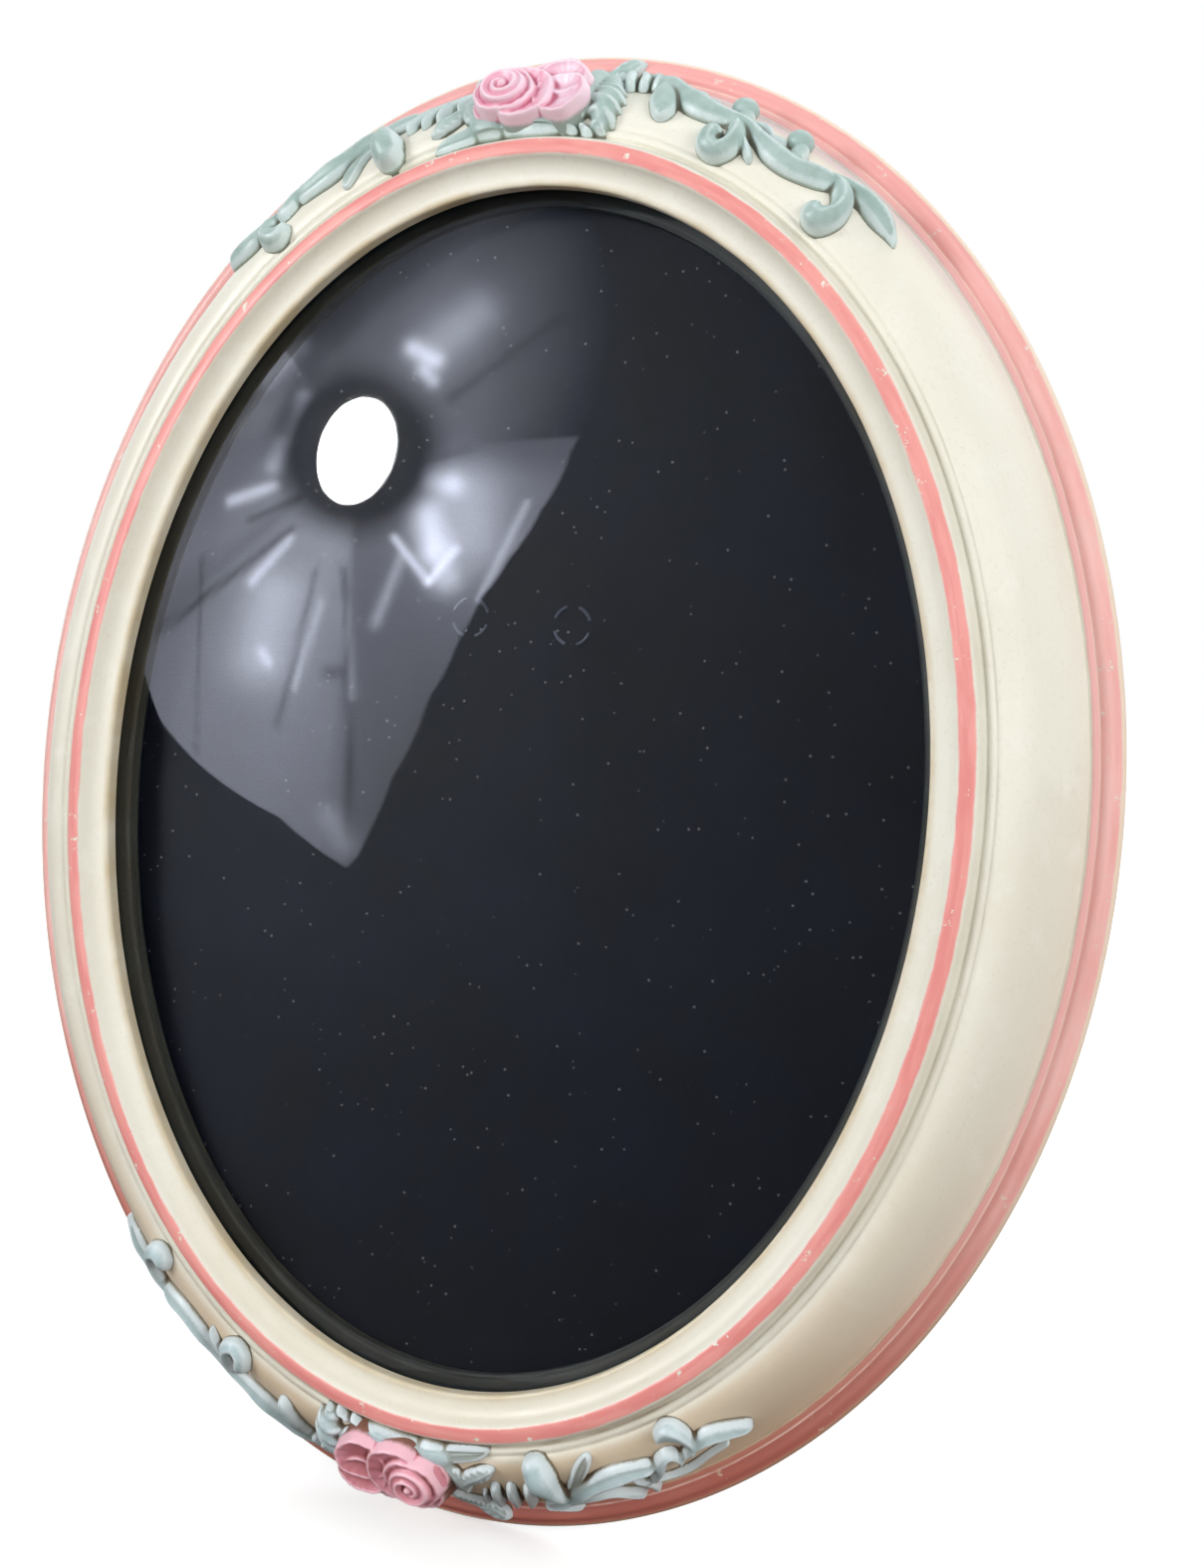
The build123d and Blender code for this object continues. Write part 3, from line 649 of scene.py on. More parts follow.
def strandHeight(kind, share, side, run, half):
    # height of one strand: share is 0 in its middle and 1 at its edge, side is signed
    high = relief["height"] + relief["heightShare"] * half
    body = high * rounded(share)
    within = np.clip(1 - share ** 4, 0, 1)
    near = np.minimum(share, 1)
    if kind == "stem":
        return body + within * high * (0.17 * ridge(side, 0.12, 0.24) - 0.1 * ridge(side, -0.42, 0.2))
    if kind == "curl":
        return body * 1.08 + within * high * 0.14 * ridge(side, 0.2, 0.3)
    if kind == "blade":
        return body + within * high * (0.16 * ridge(side, 0.05, 0.2) - 0.1 * ridge(side, 0.5, 0.16))
    if kind == "leaf":
        veins = 0.1 * np.cos((run + 0.9 * share * half) * math.tau / 1.15) * np.clip(share * 3 - 0.4, 0, 1)
        return body * (0.74 + 0.3 * near ** 2) + within * (veins + 0.2 * ridge(side, 0, 0.13))
    if kind == "hollowLeaf":
        return body * (0.5 + 0.62 * near ** 2) + within * 0.24 * ridge(side, 0.1, 0.12)
    if kind == "ruffle":
        ribs = np.cos((run + 0.35 * side * half) * math.tau / 1.95)
        share = share / (1 + 0.12 * ribs)
        frill = np.clip(1 - share ** 4, 0, 1) * 0.38 * ribs * (0.3 + 0.7 * np.minimum(share, 1))
        return high * 0.82 * rounded(share) + frill
    if kind == "ball":
        return (relief["ballHeight"] + half) * rounded(share, 2.0, 0.5)
    return body


def strandField(along, down, middle, kind, stations):
    # heights of a strand over the whole grid
    even, places = smoothed([(alongTo(middle, turn), downTo(share), moulding["cushionWidth"] * half)
                             for turn, share, half in stations])
    lumps = relief["lumps"] * np.sin(0.8 * places + 5 * even[0, 1])
    half = np.maximum(even[:, 2] * (1 + lumps), relief["leastHalf"])
    if kind != "ball":
        for reach in (places, places[-1] - places):
            cap = np.minimum(reach / half, 1)
            half = half * np.sqrt(np.clip(1 - (1 - cap) ** 2, 0.03, 1))
    direction = np.gradient(even[:, :2], axis=0)
    direction /= np.maximum(np.hypot(*direction.T), 1e-9)[:, None]
    heights = np.full(along.shape, relief["outside"])
    # only the grid's part that the strand can reach
    reach = half.max() + 3.2
    rows = np.abs(along[:, 0] - even[:, 0].mean()) < np.ptp(even[:, 0]) / 2 + reach
    columns = np.abs(down[0] - even[:, 1].mean()) < np.ptp(even[:, 1]) / 2 + reach
    part = np.ix_(rows, columns)
    best = np.full(along[part].shape, 1e9)
    nearest = np.zeros(best.shape, int)
    for i in range(len(even)):
        gap = np.hypot(along[part] - even[i, 0], down[part] - even[i, 1]) / half[i]
        closer = gap < best
        best[closer] = gap[closer]
        nearest[closer] = i
    offset = np.stack([along[part] - even[nearest, 0], down[part] - even[nearest, 1]], -1)
    side = (direction[nearest, 0] * offset[..., 1] - direction[nearest, 1] * offset[..., 0]) / half[nearest]
    heights[part] = strandHeight(kind, best, side, places[nearest], half[nearest])
    return heights


def sheetMesh(top, under, kept):
    # closed mesh between two grids of points, where kept says which points there are
    cell = kept[:-1, :-1] & kept[1:, :-1] & kept[1:, 1:] & kept[:-1, 1:]
    used = np.zeros_like(kept)
    for rows in (slice(None, -1), slice(1, None)):
        for columns in (slice(None, -1), slice(1, None)):
            used[rows, columns] |= cell
    count = int(used.sum())
    number = np.full(kept.shape, -1)
    number[used] = np.arange(count)
    a, b = number[:-1, :-1][cell], number[1:, :-1][cell]
    c, d = number[1:, 1:][cell], number[:-1, 1:][cell]
    faces = [np.stack([a, b, c, d], 1), np.stack([d, c, b, a], 1) + count]
    around = np.pad(cell, 1)
    walls = [
        (around[1:-1, :-2], number[:-1, :-1], number[1:, :-1]),
        (around[2:, 1:-1], number[1:, :-1], number[1:, 1:]),
        (around[1:-1, 2:], number[1:, 1:], number[:-1, 1:]),
        (around[:-2, 1:-1], number[:-1, 1:], number[:-1, :-1])]
    for beside, first, second in walls:
        bare = cell & ~beside
        faces.append(np.stack([second[bare], first[bare], first[bare] + count, second[bare] + count], 1))
    points = np.vstack([top[used], under[used]])
    faces = [tuple(f) for f in np.vstack(faces).tolist()]
    return facedOut(meshOf("relief", points * mm, faces)), used


def storeNumbers(mesh, name, numbers):
    layer = mesh.attributes.new(name, "FLOAT", "POINT")
    layer.data.foreach_set("value", numbers.astype(np.float32))


def storeShadingMasks(mesh, used, heights, lowest, reach, **others):
    # rise off the face, standing edges and deep places, which the paint follows with painted highlights on
    # edges and painted shade in deep and low places
    low = np.maximum(heights, lowest)
    values = {"rise": heights, "edge": low - softened(low, 2), "deep": softened(low, reach) - low, **others}
    for key, numbers in values.items():
        storeNumbers(mesh, key, np.tile(numbers[used], 2))


# Strands of a garland: kind, then degrees from the spray's middle, and place across and half width in
# hundredths of the cushion's width
stemGarland = [
    ("stem", [(-8.4, 92, 10), (-11.0, 88, 18), (-13.5, 77, 24), (-16.0, 65, 26), (-18.5, 59, 23),
              (-20.6, 60, 19), (-22.8, 60, 16), (-25.0, 53, 18), (-27.0, 47, 21), (-29.2, 46, 23),
              (-31.2, 54, 21), (-33.0, 64, 16)]),
    ("blade", [(-32.0, 64, 12), (-33.8, 70, 16), (-36.0, 74, 23), (-38.0, 72, 23), (-39.8, 69, 13),
               (-41.2, 65, 3)]),
    ("curl", [(-31.8, 64, 12), (-33.7, 64, 16), (-35.2, 52, 18), (-35.8, 33, 19), (-35.3, 17, 20),
              (-34.2, 16, 20), (-33.8, 27, 17)]),
    ("plain", [(-28.6, 50, 14), (-28.3, 66, 14), (-27.8, 78, 14)]),
    ("plain", [(-21.8, 58, 14), (-21.4, 74, 14), (-20.9, 83, 14)]),
    ("curl", [(-21.6, 58, 15), (-22.6, 41, 16), (-22.8, 23, 18), (-21.8, 10, 19), (-20.6, 15, 18),
              (-20.4, 30, 16), (-21.2, 33, 13)]),
    ("blade", [(-22.4, 48, 6), (-23.8, 37, 9), (-24.9, 28, 8), (-25.6, 20, 3)]),
    ("plain", [(-22.4, 70, 8), (-23.8, 73, 9), (-25.0, 67, 5)]),
    ("plain", [(-24.8, 64, 7), (-25.8, 68, 7), (-26.4, 72, 3)]),
    ("plain", [(-12.0, 94, 6), (-13.2, 96, 6), (-14.0, 94, 4)]),
    ("plain", [(-14.2, 88, 6), (-15.4, 90, 6), (-16.2, 86, 4)]),
    ("plain", [(-16.4, 80, 6), (-17.6, 80, 6), (-18.6, 74, 4)]),
    ("plain", [(-10.8, 96, 13), (-12.2, 76, 18), (-13.4, 54, 21), (-14.1, 38, 20), (-14.4, 27, 13)]),
    ("ball", [(-7.0, 96, 8), (-7.6, 88, 10), (-8.2, 78, 10), (-8.6, 70, 8)]),
    ("ball", [(-8.4, 99, 8), (-8.9, 92, 10), (-9.5, 82, 10), (-9.8, 74, 8)]),
    ("ball", [(-9.7, 100, 8), (-10.2, 94, 10), (-10.8, 84, 10), (-11.1, 76, 8)]),
]
ballGarland = [
    ("stem", [(15.6, 86, 10), (17.6, 80, 14), (19.6, 68, 17), (21.8, 56, 20), (24.2, 48, 21),
              (27.0, 46, 20), (29.6, 50, 17)]),
    ("curl", [(28.0, 74, 8), (29.4, 62, 12), (30.8, 46, 13), (31.9, 44, 12), (32.2, 56, 9),
              (31.6, 66, 5)]),
    ("curl", [(33.4, 56, 12), (34.3, 42, 13), (34.1, 24, 17), (33.2, 14, 18), (32.3, 15, 15),
              (31.8, 22, 8)]),
    ("blade", [(32.4, 56, 8), (34.2, 48, 13), (36.2, 46, 17), (37.8, 52, 19), (39.0, 60, 15),
               (39.8, 66, 6)]),
    ("plain", [(27.0, 72, 5), (29.4, 80, 6), (31.8, 80, 6), (34.2, 74, 5), (36.8, 70, 5)]),
    ("ball", [(18.8, 66, 8), (18.4, 46, 17), (18.0, 26, 26), (17.7, 10, 22)]),
    ("hollowLeaf", [(18.8, 70, 6), (20.6, 50, 11), (22.2, 30, 14), (23.4, 15, 10), (23.9, 7, 3)]),
    ("blade", [(17.0, 92, 5), (19.2, 82, 8), (21.4, 76, 10), (23.4, 78, 10), (24.8, 92, 11),
               (25.2, 106, 7)]),
    ("blade", [(14.6, 98, 6), (16.8, 102, 9), (18.4, 110, 7)]),
    ("plain", [(26.6, 62, 9), (27.2, 82, 10), (26.8, 98, 10)]),
    ("plain", [(9.6, 102, 7), (10.6, 82, 10), (11.4, 60, 11), (12.0, 40, 9)]),
    ("plain", [(11.3, 102, 7), (12.4, 82, 10), (13.2, 60, 11), (13.8, 40, 9)]),
    ("plain", [(13.0, 100, 7), (14.1, 82, 10), (15.0, 62, 11), (15.7, 44, 9)]),
    ("plain", [(8.0, 100, 6), (9.2, 78, 7), (10.2, 56, 5)]),
]
roseLeaves = [
    ("plain", [(-3.4, -4, 12), (-1.6, -8, 21), (0.4, -8, 22), (2.4, -6, 19), (3.8, -2, 11)]),
    ("plain", [(3.4, -2, 12), (4.8, -4, 19), (6.4, 1, 18), (7.4, 10, 12)]),
    ("leaf", [(4.6, 2, 9), (6.4, 10, 12), (7.8, 26, 13), (8.3, 46, 11), (8.0, 62, 7)]),
    ("hollowLeaf", [(6.4, 2, 10), (8.2, -6, 18), (10.0, -10, 17), (11.4, -12, 10), (12.2, -14, 3)]),
    ("leaf", [(7.6, 48, 10), (9.2, 32, 16), (11.0, 22, 14), (12.6, 14, 3)]),
    ("leaf", [(5.4, 80, 12), (7.2, 102, 17), (9.0, 116, 16), (10.4, 126, 4)]),
    ("leaf", [(-3.2, 92, 10), (-4.8, 106, 15), (-6.4, 120, 14), (-7.8, 130, 3)]),
    ("plain", [(-3.4, 100, 16), (-4.4, 80, 22), (-5.0, 55, 24), (-5.4, 30, 22), (-5.4, 8, 12)]),
    ("ruffle", [(-5.6, 86, 12), (-6.7, 62, 22), (-7.6, 36, 27), (-8.1, 12, 25), (-8.2, -8, 15)]),
    ("plain", [(-7.8, -6, 8), (-8.7, -12, 10)]),
    ("plain", [(-5.8, -2, 7), (-6.8, -16, 9), (-7.2, -20, 7)]),
    ("plain", [(-3.8, -2, 7), (-4.8, -12, 9), (-5.4, -16, 6)]),
]
# round knobs at the ends of the outward shoots: degrees, place across, lift off the face and radius in mm
stemKnobs = {"places": [(-27.2, 80, 1.2, 2.25), (-20.4, 85, 1.2, 2.25)], "sides": 28, "rings": 14,
             "flatness": 0.85, "frontHighlight": 0.1}
sprays = {"top": 92.4, "bottom": 266.0}
# colours of leaves: plain, edges (dry-brushed paint with painted highlight), hollows and sides (both
# painted shade), with the rise up to which the sides' colour goes;
# of roses: petals, rims (painted highlight), deep places (painted shade), hollows (painted highlight on the
# top rose, painted shade on the bottom one) and the outer wall (leaf colour on the top rose, brown painted
# shade on the bottom one)
castingPaints = {
    "top": {
        "sage": [(160, 184, 178), (214, 228, 228), (104, 104, 90), (146, 158, 144)],
        "sideRise": 1.5,
        "rose": [(234, 166, 188), (247, 220, 232), (200, 98, 128), (236, 212, 226), (150, 168, 160)]},
    "bottom": {
        "sage": [(172, 194, 197), (222, 234, 239), (92, 74, 54), (132, 124, 104)],
        "sideRise": 2.4,
        "rose": [(224, 150, 166), (243, 196, 208), (128, 66, 64), (196, 120, 126), (126, 88, 72)]},
}


def startCasting(name, brushMarks):
    # a painted casting's material, with the rise, edges and deep places that its dry-brushed paint, painted
    # highlights and painted shade follow
    material, tree, shader, place = startMaterial(name, 0.4)
    brushed = noise(place, brushMarks, 4.0, 0.7, 1.0)
    wobble = times(minus(brushed, 0.5), 0.12)
    shadingMasks = [plus(attribute(tree, key), wobble) for key in ("rise", "edge", "deep")]
    return material, shader, place, brushed, shadingMasks


def towards(first, second, share=0.2):
    return tuple((1 - share) * a + share * b for a, b in zip(first, second))


def makeSagePaint(side):
    leafColour, dryBrushAndHighlightColour, recessShadeColour, sideShadeColour = (shade(*c) for c in castingPaints[side]["sage"])
    material, shader, place, brushed, (rise, edge, deep) = startCasting("sagePaint" + side.title(), 1.1)
    mottle = noise(place, 2.6, 4.0, 0.6)
    # over the leaf colour: painted shade on the low sides, in deep places and at the foot, and pale edges
    # of dry-brushed paint with painted highlight
    colour = layered(
        leafColour,
        (between(mottle, 0.35, 0.65), towards(leafColour, dryBrushAndHighlightColour)),
        (between(rise, 0.35, castingPaints[side]["sideRise"], 0.9, 0), sideShadeColour),
        (between(edge, 0.04, 0.17, 0, 0.8), dryBrushAndHighlightColour),
        (between(deep, 0.08, 0.45, 0, 0.9), recessShadeColour),
        (between(rise, 0.1, 0.42, 0.8, 0), recessShadeColour))
    finishMaterial(shader, colour, between(mottle, 0.3, 0.7, 0.34, 0.48, False),
                   plus(noise(place, 0.5, 3.0, 0.6), brushed), 0.3, 0.06)
    return material


sagePaint = {side: makeSagePaint(side) for side in sprays}


def addKnobs(work, middle, slim):
    # a slightly flattened ball at each knob's place
    layers = work.verts.layers.float
    for turn, share, lift, radius in stemKnobs["places"]:
        base, off, run, _ = bedPlace(middle, np.array(alongTo(middle, turn)), downTo(share / 100))
        size = radius * slim
        axes = np.stack([run, np.cross(off, run), off * stemKnobs["flatness"]]) * size * mm
        place = Matrix(axes.tolist()).transposed().to_4x4()
        place.translation = (base + off * lift) * mm
        ball = bmesh.ops.create_uvsphere(
            work, u_segments=stemKnobs["sides"], v_segments=stemKnobs["rings"], radius=1)
        for point in ball["verts"]:
            point[layers["rise"]] = lift + size * point.co.z
            # the knob's front gets paler paint, a painted highlight
            point[layers["edge"]] = stemKnobs["frontHighlight"] * max(point.co.z, 0) ** 3
            point.co = place @ point.co


def makeStrands(name, middle, strands, side, slim=1.0, knobs=False):
    strands = [(kind, [(turn, share / 100, half / 100 * slim) for turn, share, half in stations])
               for kind, stations in strands]
    places = np.array([station for kind, stations in strands for station in stations])
    runs = alongTo(middle, places[:, 0])
    downs = downTo(places[:, 1])
    margin = relief["margin"]
    along, down = np.meshgrid(
        np.arange(runs.min() - margin, runs.max() + margin, relief["cell"]),
        np.arange(max(downs.min() - margin, 1.0), min(downs.max() + margin, bedRun[-1]), relief["cell"]),
        indexing="ij")
    heights = np.full(along.shape, relief["outside"])
    for kind, stations in strands:
        fillet = relief["smallFillet" if kind in ("curl", "ball", "hollowLeaf") else "fillet"]
        heights = greater(heights, strandField(along, down, middle, kind, stations), fillet)
    heights = np.maximum(heights, 3 * relief["lowest"])
    heights = (softened(heights, 1) + heights) / 2
    base, off, _, _ = bedPlace(middle, along, down)
    top = base + off * (heights - relief["foot"])[..., None]
    mesh, used = sheetMesh(top, base + off * relief["underside"], heights > relief["lowest"])
    storeShadingMasks(mesh, used, heights, relief["lowest"], 6)
    if knobs:
        mesh = facedOut(reworked(mesh, lambda work: addKnobs(work, middle, slim)))
    mesh.materials.append(sagePaint[side])
    replaced = "".join("_" + c.lower() if c.isupper() else c for c in name)
    finishPiece(name, mesh, "frame", [replaced], angle=75)


makeStrands("topRightGarland", sprays["top"], stemGarland, "top", knobs=True)
makeStrands("topLeftGarland", sprays["top"], ballGarland, "top")
makeStrands("bottomLeftGarland", sprays["bottom"], stemGarland, "bottom", 0.8, True)
makeStrands("bottomRightGarland", sprays["bottom"], ballGarland, "bottom", 0.9)
for side, middle in sprays.items():
    makeStrands(side + "RoseLeaves", middle, roseLeaves, side)


# Roses: petals are dishes on a plane that is tilted outward on the cushion
rose = {
    "stand": 4.15,
    "tilt": 28.0,
    "turn": 0.4,
    "acrossShare": 0.47,
    "reach": (11.5, 9.0),
    "cell": 0.15,
    "levels": (3.0, -14.0, -0.5),  # heights at which the plane is searched for the moulding's face
    "shallowest": -4.0,
    "leastWall": 1.5,  # slope from which a petal's side counts as the outer wall
    "budCentre": (4.5, 0.1),
    "budReach": 3.5,
    "budPitch": 1.85,
    "budHeight": 2.0,
    "wallSlope": 6.5,
    "budWallSlope": 3.2,
    "hollows": [(-5.0, 1.0), (-5.2, -2.4)],
    "hollowReach": 3.9,
}
# petals: centre (along, inward), half sizes, base height, dish depth, slopes (along, inward), edge waves
petals = [
    ((4.5, 0.1), (5.2, 4.9), 0.1, 1.1, (0.02, 0.05), 3),
    ((1.5, 0.5), (5.5, 5.6), -0.5, 1.3, (-0.06, 0.03), 2),
    ((-5.1, 1.3), (4.7, 4.2), -0.6, 1.5, (-0.10, 0.02), 3),
    ((-5.0, -2.3), (4.4, 3.4), -0.6, 1.3, (-0.05, -0.12), 2),
    ((6.2, 1.6), (4.0, 3.4), -2.3, 1.1, (0.05, 0.0), 3),
    ((-5.2, 1.5), (3.8, 2.6), -2.8, 1.0, (-0.05, 0.0), 3),
    ((4.6, -3.4), (4.6, 3.2), -2.0, 1.1, (0.0, -0.10), 2),
    ((-1.2, -4.0), (4.6, 3.0), -2.2, 1.2, (0.0, -0.10), 3),
    ((-6.2, -2.6), (3.2, 2.8), -2.8, 1.0, (-0.05, -0.05), 2),
]


def rosePlane(middle):
    along = np.array(alongTo(middle, rose["turn"]))
    base, _, run, outward = bedPlace(middle, along, downTo(rose["acrossShare"]))
    tilt = math.radians(rose["tilt"])
    face = np.array([0, -math.cos(tilt), 0]) + outward * math.sin(tilt)
    return base + np.array([0, -rose["stand"], 0]), run, np.cross(face, run), face


def lesser(first, second, blend):
    return -greater(-first, -second, blend)


def petalHeights(u, v, centre, size, base, depth, slopes, waves):
    x, y = u - centre[0], v - centre[1]
    angle = np.arctan2(y, x)
    wave = 1 + 0.035 * np.cos(waves * angle + centre[0]) + 0.02 * np.cos((waves + 3) * angle + centre[1])
    reach = np.hypot(x / size[0], y / size[1]) / wave
    cup = base + depth * np.clip(reach, 0, 1.3) ** 2.6 + slopes[0] * x + slopes[1] * y
    creases = 0.05 * np.cos(angle * 14 + centre[0]) * np.clip(reach * 2 - 0.6, 0, 1)
    wall = base + depth + slopes[0] * x + slopes[1] * y - (reach - 0.97) * rose["wallSlope"] * min(size)
    return lesser(cup + creases, wall, 0.55)


def budHeights(u, v):
    x, y = u - rose["budCentre"][0], v - rose["budCentre"][1]
    reach = np.hypot(x, y * 1.06)
    winding = reach / rose["budPitch"] - np.arctan2(y, x) / math.tau
    share = winding - np.floor(winding)
    lip = np.clip(share / 0.7, 0, 1) ** 1.5 * np.clip((1 - share) / 0.16, 0, 1)
    knob = 0.55 * ridge(reach, 0, 0.5) - 0.6 * ridge(reach, 0.95, 0.3)
    top = rose["budHeight"] - 0.1 * reach + 0.75 * lip * np.clip(reach, 0.3, 1) + knob
    wall = rose["budHeight"] + 0.35 - (reach - rose["budReach"]) * rose["budWallSlope"]
    return lesser(top, wall, 0.4)


def makeRosePaint(side):
    colours = [shade(*c) for c in castingPaints[side]["rose"]]
    petalColour, rimHighlightColour, deepShadeColour, hollowColour, wallLeafAndShadeColour = colours
    material, shader, place, brushed, (rise, edge, deep) = startCasting("rosePaint" + side.title(), 0.9)
    tree = shader.id_data
    mottle = noise(place, 2.2, 4.0, 0.6)
    washed = between(noise(place, 6, 3.0, 0.5, offset=(5, 2, 8)), 0.45, 0.65, 0, 0.55)
    # the leaves' colour runs up the rose's outer wall; on the bottom rose this colour is a brown painted
    # shade
    uneven = maths("MULTIPLY_ADD", minus(brushed, 0.5), 0.84, rise)
    wall = maths("MAXIMUM", attribute(tree, "wall"), between(rise, -3.4, -2.8, 1, 0))
    # painted highlight on the petal rims, painted shade in deep places, and painted highlight in the petal
    # hollows of the top rose, painted shade in those of the bottom one; the hollow colour also lies in
    # random patches
    colour = layered(
        petalColour,
        (between(mottle, 0.3, 0.7), towards(petalColour, rimHighlightColour)),
        (times(attribute(tree, "hollow"), 0.95), hollowColour),
        (washed, hollowColour),
        (between(deep, 0.04, 0.45, 0, 0.9), deepShadeColour),
        (between(edge, 0.02, 0.11, 0, 0.85), rimHighlightColour),
        (times(between(uneven, -0.9, -2.0, 0, 0.95), wall), wallLeafAndShadeColour))
    finishMaterial(shader, colour, between(mottle, 0.3, 0.7, 0.32, 0.46),
                   plus(noise(place, 0.5, 3.0, 0.6), brushed), 0.3, 0.06)
    return material


rosePaint = {side: makeRosePaint(side) for side in sprays}


def makeRose(side, middle):
    origin, run, inward, face = rosePlane(middle)
    u, v = np.meshgrid(np.arange(-rose["reach"][0], rose["reach"][0], rose["cell"]),
                       np.arange(-rose["reach"][1], rose["reach"][1], rose["cell"]), indexing="ij")
    heights = budHeights(u, v)
    for petal in petals:
        heights = greater(heights, petalHeights(u, v, *petal), 0.1)
    heights = softened(heights, 1) * 0.6 + heights * 0.4
    plane = origin + u[..., None] * run + v[..., None] * inward
    # the rose ends a little under the moulding's face
    floor = np.full(u.shape, rose["levels"][1])
    for level in np.arange(*rose["levels"]):
        points = plane + face * level
        floor = np.where(-points[..., 1] > faceHeight(acrossOf(points)), level, floor)
    floor = softened(floor, 2) + relief["underside"]
    top = plane + face * heights[..., None]
    under = plane + face * np.minimum(floor, heights - 0.1)[..., None]
    mesh, used = sheetMesh(top, under, heights > floor + 0.2)
    hollow = np.zeros(u.shape)
    for x, y in rose["hollows"]:
        hollow = np.maximum(hollow, 1 - (np.hypot(u - x, v - y) / rose["hollowReach"]) ** 2)
    slope = np.hypot(*np.gradient(heights, rose["cell"]))
    wall = softened(np.clip(slope / rose["leastWall"] - 1, 0, 1), 1)
    storeShadingMasks(mesh, used, heights, rose["shallowest"], 5, hollow=np.clip(hollow, 0, 1), wall=wall)
    mesh.materials.append(rosePaint[side])
    finishPiece(side + "Rose", mesh, "frame", [side + "_rose"], angle=75)


for side, middle in sprays.items():
    makeRose(side, middle)


# Convex glass
glass = {"edge": 75.8, "tall": 101.6, "edgeHeight": 14.04, "rise": 12.0, "thickness": 2.0,
         "steps": 60, "stepsRound": 256, "ground": 0.25, "index": 1.5, "tint": (0.97, 0.985, 0.98, 1),
         "shadowTint": (0.93, 0.95, 0.95, 1), "smearSize": 26, "smearRough": (0.012, 0.03)}
glass["radius"] = (glass["edge"] ** 2 + glass["rise"] ** 2) / (2 * glass["rise"])


def makeGlassMaterial():
    material, tree, shader, place = startMaterial("clearConvexGlass", 0.02)
    shader.inputs["Base Color"].default_value = glass["tint"]
    shader.inputs["Transmission Weight"].default_value = 1.0
    shader.inputs["IOR"].default_value = glass["index"]
    smears = noise(place, glass["smearSize"], 4.0, 0.55, 0.6)
    tree.links.new(between(smears, 0.45, 0.75, *glass["smearRough"]), shader.inputs["Roughness"])
    # light passes straight through to what lies behind
    clear = add(tree, "ShaderNodeBsdfTransparent", {0: glass["shadowTint"]})
    shadow = add(tree, "ShaderNodeLightPath", out=1)
    both = add(tree, "ShaderNodeMixShader", {0: shadow, 1: shader.outputs[0], 2: clear})
    tree.links.new(both, tree.nodes["Material Output"].inputs[0])
    return material


def makeGlass():
    edge, low, ground = glass["edge"], glass["edgeHeight"], glass["ground"]
    places = np.linspace(0, edge, glass["steps"])
    dome = low + glass["rise"] - glass["radius"] + np.sqrt(glass["radius"] ** 2 - places ** 2)
    front = list(zip(places, dome))
    front[-1] = (edge - ground, dome[-1] + 0.02)
    rim = [(edge, dome[-1] + 0.02 - 0.3), (edge, low - glass["thickness"] + ground)]
    back = [(across, height - glass["thickness"]) for across, height in front][::-1]
    mesh = swept(front + rim + back, {"Stretch": glass["tall"] / edge, "Steps round": glass["stepsRound"],
                                      "Material": makeGlassMaterial()})
    finishPiece("convexGlass", mesh, "frame", ["convex_glass"], angle=50)


makeGlass()


# Dark lining and the ring that holds it off the glass
def makePaper(name, dark, pale, fibre, rough, dust=0.0):
    material, tree, shader, place = startMaterial(name, rough, specular=0.35)
    cloud = noise(place, 30, 4.0, 0.6)
    fibres = noise(place, fibre, 6.0, 0.7, 0.3)
    colour = layered(dark, (between(cloud, 0.3, 0.7), pale),
                     (between(fibres, 0.52, 0.75, 0, 0.6), tuple(min(1, 2.2 * c) for c in pale)))
    if dust:
        specks = add(tree, "ShaderNodeTexVoronoi", {"Vector": place, "Scale": 520.0, "Randomness": 1.0})
        rare = between(noise(place, 3.0, 2.0, offset=(2, 2, 2)), 0.5, 0.56)
        colour = mixed(times(between(specks, 0.08, 0.14, 1, 0), times(rare, dust)), colour,
                       shade(150, 152, 156))
    finishMaterial(shader, colour, None, fibres, 0.5, 0.12)
    return material


weldDistance = 1e-6


def welded(work):
    # one vertex for each corner, and no edges across flat faces
    bmesh.ops.remove_doubles(work, verts=work.verts, dist=weldDistance)
    bmesh.ops.dissolve_limit(work, angle_limit=math.radians(1), verts=work.verts, edges=work.edges)


def dressNode(name, node, material, body, bevel):
    # a merged and bevelled copy of a CAD node, already in its place
    mesh = modified(reworked(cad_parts[node].data.copy(), welded), "BEVEL", {
        "width": bevel * mm, "segments": 2, "limit_method": "ANGLE", "angle_limit": math.radians(30),
        "use_clamp_overlap": True, "harden_normals": False})
    mesh.materials.clear()
    mesh.materials.append(material)
    finishPiece(name, mesh, body, [node], angle=35, flat=False)


liningPaper = makePaper("navyLiningPaper", shade(10, 12, 19), shade(15, 19, 33), 0.45, 0.72, 0.6)
ringCard = makePaper("darkRingCard", shade(11, 19, 23), shade(17, 29, 34), 1.2, 0.5)
boardFibre = makePaper("brownHardboard", shade(116, 82, 51), shade(124, 89, 56), 0.5, 0.78)
strutPaper = makePaper("blackStrutPaper", shade(22, 22, 24), shade(30, 30, 32), 1.0, 0.6)
dressNode("darkLining", "lining_card", liningPaper, "frame", 0.08)
dressNode("spacerRing", "spacer_ring", ringCard, "frame", 0.15)
dressNode("hardboardBack", "backboard", boardFibre, "frame", 0.3)
dressNode("easelStrut", "easel_strut", strutPaper, "strut", 0.5)


